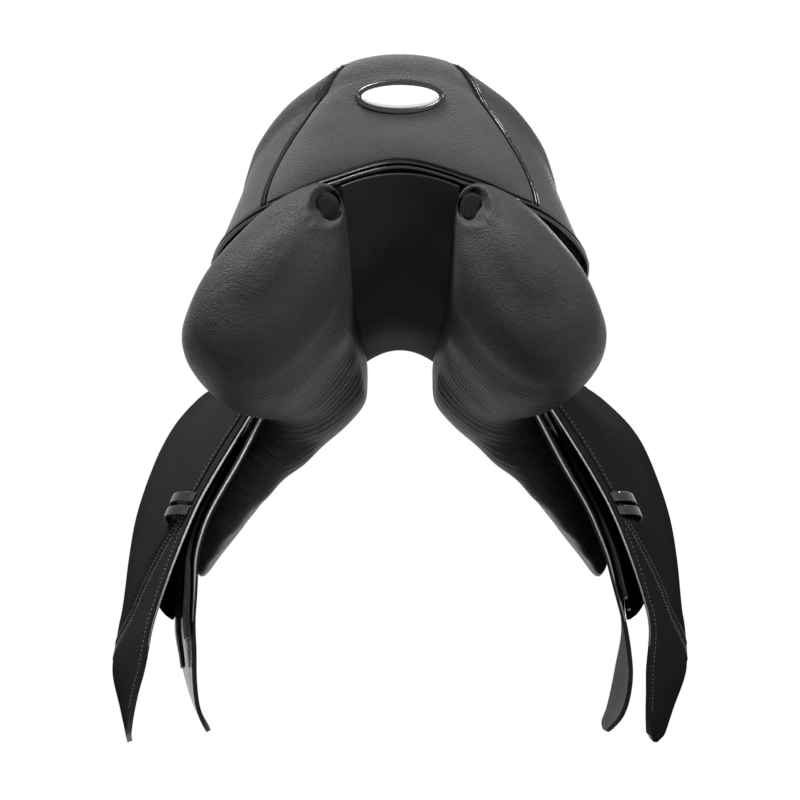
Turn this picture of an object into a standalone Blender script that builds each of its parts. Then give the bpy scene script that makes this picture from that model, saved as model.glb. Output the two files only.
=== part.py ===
"""Dressage saddle: tree, seat, panels, flaps, girth straps and fittings.

Metres, +Z up. The saddle faces +Y, so its cantle is at -Y. The origin lies under the waist of the
saddle, between the two panels, where the ridge of a saddle rack comes.
"""

import math

import bmesh
import bpy
from mathutils import Vector

# Clearances
GAP = 0.0003
CURVE_GAP = 0.0007
FOAM_GAP = 0.0023
SEWN_GAP = 0.0011
SPRING_GAP = 0.0011
FOAM_INSET = 0.017

# Thicknesses of leather, webbing, wood and steel
SEAT_LEATHER = 0.003
BACK_LEATHER = 0.0016
FACING_LEATHER = 0.003
LINING_LEATHER = 0.0025
FLAP_LEATHER = 0.0048
GRIP_LEATHER = 0.003
SWEAT_LEATHER = 0.0042
SKIRT_LEATHER = 0.0036
BILLET_LEATHER = 0.0036
KEEPER_LEATHER = 0.0022
WEB_THICKNESS = 0.0016
TREE_THICKNESS = 0.012
HEAD_PLATE_THICKNESS = 0.003
SPRING_THICKNESS = 0.0015

# The seat along its centre line, as (y, z), and how fast it falls to the sides, as (y, fall)
SEAT_LINE = (
    (-0.236, 0.2655), (-0.200, 0.2142), (-0.160, 0.167), (-0.110, 0.127), (-0.050, 0.104),
    (0.010, 0.102), (0.070, 0.114), (0.130, 0.140), (0.175, 0.158), (0.207, 0.156),
)
SEAT_FALL = (
    (-0.236, 3.8), (-0.216, 1.2), (-0.197, 0.1), (-0.171, -0.75), (-0.140, -0.85), (-0.105, -0.2),
    (-0.060, 1.0), (0.0, 2.3), (0.1, 4.0), (0.2, 6.0),
)
FOAM_DEPTH = ((-0.236, 0.008), (-0.150, 0.014), (0.0, 0.020), (0.207, 0.018))

# Half outlines of the seat seen from above, from the cantle round to the pommel: the rim as (x, y),
# and the lower edge of the seat's sides as (x, y, z)
SEAT_RIM = (
    (0.0, -0.236), (0.044, -0.236), (0.081, -0.228), (0.099, -0.216), (0.116, -0.197), (0.129, -0.171),
    (0.138, -0.140), (0.139, -0.105), (0.122, -0.060), (0.100, -0.010), (0.080, 0.050), (0.067, 0.110),
    (0.056, 0.160), (0.036, 0.196), (0.0, 0.207),
)
SEAT_EDGE = (
    (0.0, -0.228, 0.1695), (0.061, -0.223, 0.155), (0.0975, -0.214, 0.142), (0.123, -0.200, 0.1345),
    (0.144, -0.183, 0.1245), (0.160, -0.160, 0.1135), (0.168, -0.132, 0.1010), (0.161, -0.090, 0.078),
    (0.141, -0.055, 0.061), (0.120, -0.030, 0.0550), (0.1026, 0.050, 0.0762), (0.0917, 0.100, 0.0895),
    (0.0775, 0.165, 0.1067), (0.052, 0.197, 0.117), (0.0, 0.212, 0.124),
)
SEAT_CENTRE = (-0.120, 0.140)
SEAT_ROWS = 11
WALL_ROWS = 3
WALL_SHARE = WALL_ROWS / SEAT_ROWS

# Underside of the saddle along the channel, as (y, z), and how fast it falls to the sides
CEILING = (
    (-0.240, 0.1575), (-0.200, 0.133), (-0.150, 0.100), (-0.100, 0.075), (-0.050, 0.0620), (0.0, 0.0590),
    (0.050, 0.066), (0.100, 0.078), (0.150, 0.095), (0.200, 0.112),
)
CEILING_FALL = ((-0.240, 1.7), (-0.200, 1.2), (-0.150, 0.4), (0.0, 2.4), (0.1, 3.5), (0.2, 5.0))
CHANNEL_HALF_WIDTH = ((-0.240, 0.049), (-0.120, 0.041), (0.0, 0.031), (0.080, 0.032), (0.160, 0.040), (0.200, 0.045))
LINING_ARCH = ((-0.240, 2.7), (-0.120, 4.0), (0.0, 8.0), (0.100, 5.0), (0.200, 3.0))

# Tree: outer and inner half widths as (y, x), and the rows between which it is open
TREE_HALF_WIDTH = (
    (-0.222, 0.036), (-0.210, 0.064), (-0.190, 0.090), (-0.165, 0.108), (-0.130, 0.112), (-0.090, 0.096),
    (-0.050, 0.078), (0.0, 0.062), (0.050, 0.057), (0.100, 0.056), (0.150, 0.050), (0.186, 0.032),
)
TREE_OPEN_HALF_WIDTH = (
    (-0.150, 0.020), (-0.125, 0.052), (-0.090, 0.058), (-0.040, 0.044), (0.0, 0.034), (0.060, 0.030), (0.105, 0.016),
)
TREE_ROWS = 26
TREE_OPEN_FROM = -0.146
TREE_OPEN_TO = 0.100

# Panel sections across the saddle, one a line: y, upper end (x, z), lower end (x, z), sag, upper
# half thickness, lower half thickness
PANEL_SECTIONS = (
    (-0.2530, 0.086, 0.104, 0.124, 0.046, 0.000, 0.014, 0.018),
    (-0.2460, 0.070, 0.122, 0.142, 0.022, 0.003, 0.031, 0.038),
    (-0.2300, 0.060, 0.134, 0.155, 0.002, 0.006, 0.041, 0.050),
    (-0.2000, 0.055, 0.132, 0.161, -0.012, 0.008, 0.046, 0.057),
    (-0.1600, 0.052, 0.106, 0.158, -0.020, 0.008, 0.045, 0.056),
    (-0.1200, 0.050, 0.082, 0.143, -0.024, 0.006, 0.039, 0.048),
    (-0.0800, 0.046, 0.064, 0.118, -0.026, 0.004, 0.034, 0.038),
    (-0.0400, 0.042, 0.054, 0.118, -0.040, 0.004, 0.048, 0.030),
    (0.0000, 0.042, 0.050, 0.142, -0.085, 0.000, 0.052, 0.017),
    (0.0400, 0.043, 0.050, 0.174, -0.136, -0.013, 0.044, 0.011),
    (0.0800, 0.045, 0.056, 0.192, -0.160, -0.016, 0.042, 0.010),
    (0.1200, 0.050, 0.066, 0.194, -0.158, -0.016, 0.041, 0.010),
    (0.1550, 0.056, 0.078, 0.182, -0.127, -0.010, 0.036, 0.010),
    (0.1850, 0.066, 0.082, 0.150, -0.060, -0.004, 0.026, 0.012),
    (0.2020, 0.078, 0.078, 0.122, -0.008, 0.000, 0.012, 0.010),
)
PANEL_SPREAD = {"left": 0.012, "right": 0.0}
PANEL_SPREAD_END = -0.050
PANEL_BACKING = 0.020
PANEL_STATIONS = 26
PANEL_SIDES = 20
PANEL_ROUNDNESS = 2.5
PANEL_BULGE_SETBACK = 0.026
PANEL_BULGE_SLOPE = 9.0

# Felt plugs at the rear of the panels beside the channel
FELT_X = 0.0595
FELT_Z = 0.1215
FELT_WIDTH = 0.018
FELT_HEIGHT = 0.023
FELT_FACE_Y = -0.238
FELT_DEPTH = 0.012

# Outer flap: edges as (z, y), distance from the centre plane at the rear edge and at the crest as (z, x)
FLAP_REAR_Y = (
    (-0.323, 0.060), (-0.315, 0.030), (-0.293, 0.000), (-0.256, -0.028), (-0.196, -0.045), (-0.100, -0.066),
    (-0.019, -0.081), (0.030, -0.083),
)
FLAP_FRONT_Y = (
    (-0.323, 0.095), (-0.315, 0.118), (-0.293, 0.140), (-0.245, 0.172), (-0.197, 0.195), (-0.150, 0.214),
    (-0.100, 0.226), (-0.050, 0.224), (0.000, 0.208), (0.045, 0.182),
)
FLAP_REAR_X = (
    (-0.323, 0.2605), (-0.281, 0.248), (-0.256, 0.2395), (-0.218, 0.2315), (-0.186, 0.221), (-0.153, 0.2085),
    (-0.108, 0.189), (-0.073, 0.169), (-0.019, 0.134), (0.042, 0.094),
)
FLAP_CREST_X = (
    (-0.323, 0.2655), (-0.289, 0.275), (-0.248, 0.284), (-0.194, 0.271), (-0.140, 0.265), (-0.106, 0.260),
    (-0.052, 0.244), (-0.011, 0.2245), (0.019, 0.199), (0.033, 0.180), (0.055, 0.155), (0.085, 0.125),
)
FLAP_CREST_Y = 0.120
FLAP_EASE = 1.5
FLAP_FRONT_CURL = 0.020
FLAP_BOTTOM_Z = -0.323
FLAP_COLUMNS = 10
FLAP_ROWS = 19
FLAP_FADE = 0.080
FLAP_TUCK_FROM = -0.200
FLAP_TUCK = {"left": 0.0, "right": 0.022}
FLAP_TUCK_FADE = 0.65
FLAP_FLARE = {"left": 0.0, "right": 0.006}

# Bend line of the outer flap: its rear end, and its rise and spread along +Y
BEND_REAR = (0.112, -0.090, 0.015)
BEND_SPREAD = 0.230
BEND_RISE = 0.180
BEND_GAP = 0.0007

# Sweat flap: edges as (z, y), distances from the centre plane at its rear and front as (z, x)
SWEAT_REAR_Y = (
    (-0.312, 0.020), (-0.302, 0.002), (-0.290, -0.010), (-0.254, -0.035), (-0.214, -0.048), (-0.168, -0.057),
    (-0.129, -0.068), (-0.072, -0.080), (0.022, -0.088),
)
SWEAT_FRONT_Y = (
    (-0.312, 0.060), (-0.302, 0.085), (-0.286, 0.105), (-0.246, 0.135), (-0.196, 0.158), (-0.150, 0.172),
    (-0.100, 0.180), (-0.050, 0.178), (0.000, 0.168), (0.040, 0.150),
)
SWEAT_REAR_X = (
    (-0.312, 0.1775), (-0.291, 0.180), (-0.254, 0.185), (-0.214, 0.187), (-0.167, 0.1835), (-0.127, 0.171),
    (-0.072, 0.142), (-0.025, 0.119), (0.030, 0.092), (0.080, 0.060),
)
SWEAT_FRONT_X = (
    (-0.312, 0.185), (-0.286, 0.2065), (-0.246, 0.221), (-0.206, 0.229), (-0.158, 0.227), (-0.109, 0.2205),
    (-0.050, 0.200), (0.000, 0.165), (0.046, 0.102), (0.080, 0.062),
)
SWEAT_TOP_REAR_Z = 0.014
SWEAT_TOP_RISE = 0.080
SWEAT_BOTTOM_Z = -0.312
SWEAT_REAR_REF = -0.092
SWEAT_FRONT_REF = 0.180
SWEAT_EASE = 0.85
SWEAT_SPREAD_FROM = -0.120
SWEAT_REAR_SPREAD = {"left": 0.0, "right": 0.038}
SWEAT_FRONT_SPREAD = {"left": 0.0, "right": -0.006}
SWEAT_REAR_BELLY = {"left": -0.008, "right": 0.0}

# Grip leather on the outer flap: its top, and its lower seam as (share of the flap's width, drop)
GRIP_TOP = 0.020
GRIP_SEAM = ((0.03, 0.136), (0.10, 0.173), (0.21, 0.214), (0.30, 0.241), (0.65, 0.281), (1.0, 0.300))
GRIP_INSET = 0.03

# Knee block on the sweat flap
BLOCK_WIDTH = 0.052
BLOCK_HEIGHT = 0.030
BLOCK_TOP_Z = 0.000
BLOCK_BOTTOM_Z = -0.200
BLOCK_INSET = 0.010
BLOCK_CLEARANCE = 0.003

# Skirt over the stirrup bar
SKIRT_REAR_Y = -0.026
SKIRT_FRONT_Y = 0.168
SKIRT_STAND = 0.0020
SKIRT_BULGE = 0.012
SKIRT_CORNER = 0.030
SKIRT_END = 0.0085

# Fixed upper part of the outer flap, and its cut-out for the stirrup bar
TOP_REAR_Y = -0.080
TOP_FRONT_Y = 0.166
TOP_CUT_REAR_Y = 0.022
TOP_CUT_FRONT_Y = 0.146
TOP_CUT_DEPTH = 0.42
FLAP_ROOT_INSET = 0.012
ROOT_GAP = 0.0024

# Stirrup bar
BAR_REAR_Y = 0.052
BAR_FRONT_Y = 0.124
BAR_X = 0.1090
BAR_Z = 0.0720
BAR_DIP = 0.16
BAR_WIDTH = 0.009
BAR_HEIGHT = 0.007
BAR_ROOT_X = 0.040
BAR_ARM_WIDTH = 0.012
BAR_PLATE_THICKNESS = 0.003
CATCH_LENGTH = 0.014
CATCH_THICKNESS = 0.005

# Webs and girth straps
SEAT_WEB_WIDTH = 0.050
GIRTH_WEB_WIDTH = 0.045
WEB_STEPS = 15
WEB_STEPS_ON_TREE = 9
WEB_BEND = 0.0045
GIRTH_WEB_Y = {"front": 0.062, "rear": -0.016}
BILLET_WIDTH = 0.025
BILLET_TOP_Z = 0.031
BILLET_PIVOT = 0.0125
BILLET_END_Z = {("left", "front"): -0.252, ("left", "rear"): -0.230, ("right", "front"): -0.199, ("right", "rear"): -0.195}
BILLET_STAND_TOP = 0.0012
BILLET_STAND_LOW = 0.0030

# Keeper loop on the outer flap
KEEPER_DROP = 0.133
KEEPER_SHARES = (0.012, 0.100)
KEEPER_LENGTH = 0.022
KEEPER_HEIGHT = 0.011
RIVET_SHARE = 0.036
RIVET_RADIUS = 0.0040
RIVET_HEAD = 0.0016
RIVET_SPACING = 0.026

# Welts
BACK_WELT_RADIUS = 0.0020
EDGE_WELT_RADIUS = 0.0026
EDGE_WELT_GAP = 0.0018
BACK_WELT_TOP_SHARE = 0.079
BACK_WELT_LOW_SHARE = 0.200
BACK_WELT_BOW = 0.033
BACK_WELT_SHARE_GAP = 0.0105
EDGE_WELT_END_SHARE = 0.420
FACING_END_SHARE = 0.330

# Badge
BADGE_Z = 0.2255
BADGE_HALF_WIDTH = 0.0340
BADGE_HALF_HEIGHT = 0.0104
BADGE_THICKNESS = 0.0018
BADGE_RIM_RADIUS = 0.0022

# Dee rings and staples on the pommel
DEE_SHARE = 0.900
DEE_HEIGHT_SHARE = 0.35
DEE_WIRE_RADIUS = 0.0018
DEE_HALF_WIDTH = 0.0115
DEE_DROP = 0.019
STAPLE_WIRE_RADIUS = 0.0016
STAPLE_HALF_WIDTH = 0.0048
STAPLE_REACH = 0.0085
STAPLE_SINK = 0.0003

# Colours, roughness and metallic values
FINISHES = {
    "seat_leather": ((0.022, 0.022, 0.023), 0.42, 0.0),
    "panel_leather": ((0.020, 0.020, 0.021), 0.48, 0.0),
    "flap_leather": ((0.018, 0.018, 0.019), 0.45, 0.0),
    "patent_leather": ((0.010, 0.010, 0.011), 0.12, 0.0),
    "lining_leather": ((0.010, 0.010, 0.010), 0.65, 0.0),
    "felt": ((0.030, 0.030, 0.030), 0.95, 0.0),
    "foam": ((0.62, 0.60, 0.52), 0.9, 0.0),
    "webbing": ((0.55, 0.53, 0.48), 0.85, 0.0),
    "beech": ((0.45, 0.30, 0.17), 0.55, 0.0),
    "steel": ((0.55, 0.55, 0.56), 0.32, 1.0),
    "plate": ((0.78, 0.78, 0.78), 0.30, 0.6),
}

SIDES = {"left": -1.0, "right": 1.0}


def along(stations, place):
    """Value at a place on a smooth curve through (place, value) stations, which never overshoots."""
    if place <= stations[0][0]:
        return stations[0][1]
    if place >= stations[-1][0]:
        return stations[-1][1]
    slopes = []
    for (x0, y0), (x1, y1) in zip(stations, stations[1:]):
        slopes.append((y1 - y0) / (x1 - x0))
    index = 0
    while stations[index + 1][0] < place:
        index += 1

    def tangent(knot):
        if knot == 0:
            return slopes[0]
        if knot == len(stations) - 1:
            return slopes[-1]
        before = slopes[knot - 1]
        after = slopes[knot]
        if before * after <= 0.0:
            return 0.0
        return 2.0 * before * after / (before + after)

    x0, y0 = stations[index]
    x1, y1 = stations[index + 1]
    span = x1 - x0
    t = (place - x0) / span
    value = y0 * (1 + 2 * t) * (1 - t) ** 2 + y1 * t * t * (3 - 2 * t)
    return value + span * (tangent(index) * t * (1 - t) ** 2 - tangent(index + 1) * t * t * (1 - t))


def lerp(a, b, t):
    return a + (b - a) * t


def ease(t):
    t = min(1.0, max(0.0, t))
    return t * t * (3 - 2 * t)


def half_outline(points, share):
    """Point on a half outline that meets the centre plane squarely at both ends, by share of length."""
    before = (-points[1][0],) + points[1][1:]
    after = (-points[-2][0],) + points[-2][1:]
    knots = [Vector(point) for point in (before,) + points + (after,)]
    lengths = [0.0]
    for a, b in zip(points, points[1:]):
        lengths.append(lengths[-1] + (Vector(b) - Vector(a)).length)
    place = min(1.0, max(0.0, share)) * lengths[-1]
    index = 0
    while index < len(points) - 2 and lengths[index + 1] < place:
        index += 1
    t = (place - lengths[index]) / (lengths[index + 1] - lengths[index])
    p0, p1, p2, p3 = knots[index:index + 4]
    return 0.5 * (2 * p1 + (p2 - p0) * t + (2 * p0 - 5 * p1 + 4 * p2 - p3) * t * t
                  + (3 * p1 - p0 - 3 * p2 + p3) * t ** 3)


def seat_z(x, y):
    return along(SEAT_LINE, y) - along(SEAT_FALL, y) * x * x


def seat_below(x, y, depth):
    """Height of a layer that lies a depth under the seat's surface, measured square to it."""
    step = 0.002
    slope_x = (seat_z(x + step, y) - seat_z(x - step, y)) / (2 * step)
    slope_y = (seat_z(x, y + step) - seat_z(x, y - step)) / (2 * step)
    return seat_z(x, y) - depth * math.sqrt(1 + slope_x ** 2 + slope_y ** 2)


WEB_STACK = 2 * (WEB_THICKNESS + CURVE_GAP) + CURVE_GAP


def foam_bottom(x, y):
    return seat_below(x, y, SEAT_LEATHER + FOAM_GAP + along(FOAM_DEPTH, y))


def tree_top(x, y):
    return foam_bottom(x, y) - WEB_STACK


def tree_bottom(x, y):
    return tree_top(x, y) - TREE_THICKNESS


def ceiling(x, y):
    """Upper limit of what lies under the tree: the panels and the gullet lining."""
    free = along(CEILING, y) - along(CEILING_FALL, y) * x * x
    facing = (FACING_LEATHER + CURVE_GAP) * ease((-0.095 - y) / 0.015)
    under_tree = min(free, tree_bottom(x, y) - SPRING_THICKNESS - SPRING_GAP - CURVE_GAP - facing)
    return lerp(under_tree, free, ease((abs(x) - along(TREE_HALF_WIDTH, y) - 0.004) / 0.026))


def rim_point(share):
    x, y = half_outline(SEAT_RIM, share)
    return Vector((x, y, seat_z(x, y)))


def edge_point(share):
    return half_outline(SEAT_EDGE, share)


def seat_wall(share, height_share):
    """Point on the outside of the seat's side, from its lower edge to the rim, on the right side."""
    return edge_point(share).lerp(rim_point(share), height_share)


def seat_wall_normal(share, height_share):
    step = 0.004
    a = seat_wall(share + step, height_share) - seat_wall(max(0.0, share - step), height_share)
    b = rim_point(share) - edge_point(share)
    normal = b.cross(a).normalized()
    return -normal if normal.dot(Vector((0, -1, 0)) if share < 0.2 else Vector((1, 0, 0))) < 0 else normal


def seat_dish(share, inward):
    """Point on top of the seat, from the rim to the centre line, on the right side."""
    rim = rim_point(share)
    x = rim.x * (1 - inward)
    y = lerp(rim.y, lerp(SEAT_CENTRE[0], SEAT_CENTRE[1], share), inward)
    return Vector((x, y, seat_z(x, y)))


def around(turn):
    """Share of the half outline and side for a turn round the whole seat."""
    return (2 * turn, 1.0) if turn <= 0.5 else (2 - 2 * turn, -1.0)


def bend_point(y):
    """Point on the bend line of the outer flap, right side."""
    run = y - BEND_REAR[1]
    return Vector((BEND_REAR[0] + BEND_SPREAD * run, y, BEND_REAR[2] + BEND_RISE * run))


def flap_surface_x(y, z, side):
    rear_y = along(FLAP_REAR_Y, z)
    rear_x = along(FLAP_REAR_X, z)
    crest_x = along(FLAP_CREST_X, z)
    share = (y - rear_y) / (FLAP_CREST_Y - rear_y)
    if share <= 1.0:
        x = rear_x + (crest_x - rear_x) * (1 - (1 - share) ** FLAP_EASE)
    else:
        x = crest_x - FLAP_FRONT_CURL * ((y - FLAP_CREST_Y) / 0.1) ** 2
    tuck = FLAP_TUCK[side] * ease((FLAP_TUCK_FROM - z) / (FLAP_TUCK_FROM - FLAP_BOTTOM_Z))
    tuck *= 1 - FLAP_TUCK_FADE * min(1.0, max(0.0, share))
    flare = FLAP_FLARE[side] * ease((0.030 - z) / 0.06) * ease((z - FLAP_BOTTOM_Z) / 0.20)
    return x - tuck + flare


def flap_point(side, y, drop):
    """Outer face of the outer flap, a drop below its bend line, as if on the right side."""
    bend = bend_point(y)
    z = bend.z - drop
    straighten = bend.x - flap_surface_x(y, bend.z, side)
    return Vector((flap_surface_x(y, z, side) + straighten * (1 - ease(drop / FLAP_FADE)), y, z))


def flap_edge_y(stations, drop):
    y = along(stations, -drop)
    for _ in range(4):
        y = along(stations, bend_point(y).z - drop)
    return y


def flap_share_point(side, share, drop, offset=0.0):
    """Point at a share of the outer flap's width, offset square to it towards the outside."""
    rear = flap_edge_y(FLAP_REAR_Y, drop)
    front = flap_edge_y(FLAP_FRONT_Y, drop)
    y = lerp(rear, front, share)
    point = flap_point(side, y, drop)
    if offset == 0.0:
        return point
    step = 0.003
    along_y = flap_point(side, y + step, drop) - flap_point(side, y - step, drop)
    down = flap_point(side, y, drop + step) - flap_point(side, y, max(0.0, drop - step))
    normal = down.cross(along_y).normalized()
    if normal.x < 0:
        normal = -normal
    return point + offset * normal


FLAP_DROP = bend_point(0.078).z - FLAP_BOTTOM_Z


def sweat_x(y, z, side):
    """Middle of the sweat flap's leather, as a distance from the centre plane."""
    share = (y - SWEAT_REAR_REF) / (SWEAT_FRONT_REF - SWEAT_REAR_REF)
    share = min(1.15, max(0.0, share))
    low = ease((SWEAT_SPREAD_FROM - z) / (SWEAT_SPREAD_FROM - SWEAT_BOTTOM_Z)) ** 1.5
    belly = ease((SWEAT_SPREAD_FROM - z) / 0.08) * ease((z - SWEAT_BOTTOM_Z) / 0.08)
    rear = along(SWEAT_REAR_X, z) + SWEAT_REAR_SPREAD[side] * low + SWEAT_REAR_BELLY[side] * belly
    front = along(SWEAT_FRONT_X, z) + SWEAT_FRONT_SPREAD[side] * low
    return rear + (front - rear) * share ** SWEAT_EASE


def sweat_top_z(y):
    return SWEAT_TOP_REAR_Z + SWEAT_TOP_RISE * (y - SWEAT_REAR_Y[-1][1])


def sweat_slopes(side, y, z):
    step = 0.003
    slope_y = (sweat_x(y + step, z, side) - sweat_x(y - step, z, side)) / (2 * step)
    slope_z = (sweat_x(y, z + step, side) - sweat_x(y, z - step, side)) / (2 * step)
    return slope_y, slope_z


def sweat_point(side, y, z, offset=0.0):
    point = Vector((sweat_x(y, z, side), y, z))
    if offset == 0.0:
        return point
    slope_y, slope_z = sweat_slopes(side, y, z)
    return point + offset * Vector((1.0, -slope_y, -slope_z)).normalized()


def sweat_slant(side, y, z):
    """Depth of the sweat flap along X for each unit of its thickness."""
    slope_y, slope_z = sweat_slopes(side, y, z)
    return math.sqrt(1 + slope_y ** 2 + slope_z ** 2)


def clear_scene():
    for item in list(bpy.data.objects):
        bpy.data.objects.remove(item, do_unlink=True)


def finish_named(name):
    material = bpy.data.materials.get(name)
    if material:
        return material
    colour, roughness, metallic = FINISHES[name]
    material = bpy.data.materials.new(name)
    material.use_nodes = True
    shader = material.node_tree.nodes["Principled BSDF"]
    shader.inputs["Base Color"].default_value = (*colour, 1.0)
    shader.inputs["Roughness"].default_value = roughness
    shader.inputs["Metallic"].default_value = metallic
    material.diffuse_color = (*colour, 1.0)
    return material


def add_object(name, bm, finish, origin=None, smooth=True):
    """Make an object of a bmesh, with its origin at a given point."""
    if origin is not None:
        bmesh.ops.translate(bm, vec=-Vector(origin), verts=bm.verts)
    mesh = bpy.data.meshes.new(name)
    bm.to_mesh(mesh)
    bm.free()
    mesh.materials.append(finish_named(finish))
    if smooth:
        mesh.shade_smooth()
        mesh.set_sharp_from_angle(angle=math.radians(40))
    item = bpy.data.objects.new(name, mesh)
    if origin is not None:
        item.location = origin
    bpy.context.scene.collection.objects.link(item)
    return item


def mirrored(place, side):
    """A place function of the right side, turned to the given side."""
    def moved(*shares):
        point = place(*shares)
        return Vector((point.x * SIDES[side], point.y, point.z))
    return moved


def sheet(name, place, columns, rows, thickness, finish, origin=None, offset=0.0, outward=None):
    """A leather sheet: a grid bent to place(u, v), with its thickness given by Solidify.

    With an outward direction, place(u, v) is the outer face and the thickness lies inside it.
    """
    bm = bmesh.new()
    bmesh.ops.create_grid(bm, x_segments=columns, y_segments=rows, size=0.5)
    for vert in bm.verts:
        vert.co = place(vert.co.x + 0.5, vert.co.y + 0.5)
    bmesh.ops.remove_doubles(bm, verts=bm.verts, dist=1e-6)
    bmesh.ops.recalc_face_normals(bm, faces=bm.faces)
    if outward is not None:
        offset = -1.0
        if sum(face.normal.dot(outward) * face.calc_area() for face in bm.faces) < 0:
            bmesh.ops.reverse_faces(bm, faces=bm.faces)
    item = add_object(name, bm, finish, origin)
    solid = item.modifiers.new("thickness", "SOLIDIFY")
    solid.thickness = thickness
    solid.offset = offset
    solid.use_even_offset = True
    return item


def leather(side, name, place, columns, rows, thickness, origin=None):
    """A sheet of flap leather whose outer face is place(u, v) of the right side."""
    outward = Vector((SIDES[side], 0, 0))
    sheet(name, mirrored(place, side), columns, rows, thickness, "flap_leather", origin, outward=outward)


def slab(name, place, columns, rows, finish, origin=None, keep=None):
    """A solid between two surfaces: place(u, v, 0) below and place(u, v, 1) above."""
    bm = bmesh.new()
    bmesh.ops.create_grid(bm, x_segments=columns, y_segments=rows, size=0.5)
    if keep:
        gone = [f for f in bm.faces if not keep(f.calc_center_median().x + 0.5, f.calc_center_median().y + 0.5)]
        bmesh.ops.delete(bm, geom=gone, context="FACES")
    share_u = bm.verts.layers.float.new("share_u")
    share_v = bm.verts.layers.float.new("share_v")
    for vert in bm.verts:
        vert[share_u] = vert.co.x + 0.5
        vert[share_v] = vert.co.y + 0.5
        vert.co = place(vert[share_u], vert[share_v], 0)
    bmesh.ops.remove_doubles(bm, verts=bm.verts, dist=1e-6)
    raised = bmesh.ops.extrude_face_region(bm, geom=list(bm.faces), use_keep_orig=True)
    for element in raised["geom"]:
        if isinstance(element, bmesh.types.BMVert):
            element.co = place(element[share_u], element[share_v], 1)
    bm.verts.layers.float.remove(share_u)
    bm.verts.layers.float.remove(bm.verts.layers.float["share_v"])
    bmesh.ops.recalc_face_normals(bm, faces=bm.faces)
    return add_object(name, bm, finish, origin)


def loft(name, rings, finish, origin=None):
    """A closed solid through rings of points, each joined to the next, with domed ends."""
    bm = bmesh.new()
    loops = []
    for ring in rings:
        verts = [bm.verts.new(point) for point in ring]
        loops.append([bm.edges.new((a, b)) for a, b in zip(verts, verts[1:] + verts[:1])])
    for lower, upper in zip(loops, loops[1:]):
        bmesh.ops.bridge_loops(bm, edges=lower + upper)
    for end in (loops[0], loops[-1]):
        cap = bmesh.ops.contextual_create(bm, geom=end)["faces"]
        bmesh.ops.poke(bm, faces=cap)
    bmesh.ops.recalc_face_normals(bm, faces=bm.faces)
    return add_object(name, bm, finish, origin)


def tube(name, points, radius, finish, cyclic=False, origin=None, resolution=2):
    """A round bar along points."""
    curve = bpy.data.curves.new(name, "CURVE")
    curve.dimensions = "3D"
    curve.bevel_depth = radius
    curve.bevel_resolution = resolution
    curve.use_fill_caps = not cyclic
    start = Vector(origin) if origin is not None else Vector((0, 0, 0))
    spline = curve.splines.new("POLY")
    spline.points.add(len(points) - 1)
    for knot, point in zip(spline.points, points):
        knot.co = (*(Vector(point) - start), 1.0)
    spline.use_cyclic_u = cyclic
    curve.materials.append(finish_named(finish))
    item = bpy.data.objects.new(name, curve)
    item.location = start
    bpy.context.scene.collection.objects.link(item)
    return item


def make_seat():
    def skin(turn, up):
        share, side = around(turn)
        if up < WALL_SHARE:
            point = seat_wall(share, up / WALL_SHARE)
        else:
            point = seat_dish(share, (up - WALL_SHARE) / (1 - WALL_SHARE))
        return Vector((point.x * side, point.y, point.z))

    sheet("seat_cover", skin, 48, SEAT_ROWS, SEAT_LEATHER, "seat_leather", offset=-1.0)

    def foam(turn, inward, up):
        share, side = around(turn)
        first = FOAM_INSET / (seat_dish(share, 1.0) - rim_point(share)).length
        point = seat_dish(share, lerp(first, 1.0, inward))
        top = seat_below(point.x, point.y, SEAT_LEATHER + FOAM_GAP)
        return Vector((point.x * side, point.y, top if up else foam_bottom(point.x, point.y)))

    slab("seat_foam", foam, 40, 6, "foam")


def make_tree():
    rows = TREE_HALF_WIDTH

    def plate(across, back, up):
        y = lerp(rows[0][0], rows[-1][0], back)
        reach = 2 * across - 1
        outer = along(TREE_HALF_WIDTH, y)
        inner = min(along(TREE_OPEN_HALF_WIDTH, y), outer - 0.018)
        half = abs(reach)
        x = half / 0.5 * inner if half < 0.5 else lerp(inner, outer, (half - 0.5) / 0.5)
        x = math.copysign(x, reach)
        return Vector((x, y, tree_top(x, y) if up else tree_bottom(x, y)))

    def solid_here(across, back):
        y = lerp(rows[0][0], rows[-1][0], back)
        return abs(2 * across - 1) > 0.5 or not TREE_OPEN_FROM < y < TREE_OPEN_TO

    slab("tree", plate, 8, TREE_ROWS, "beech", keep=solid_here)


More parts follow.
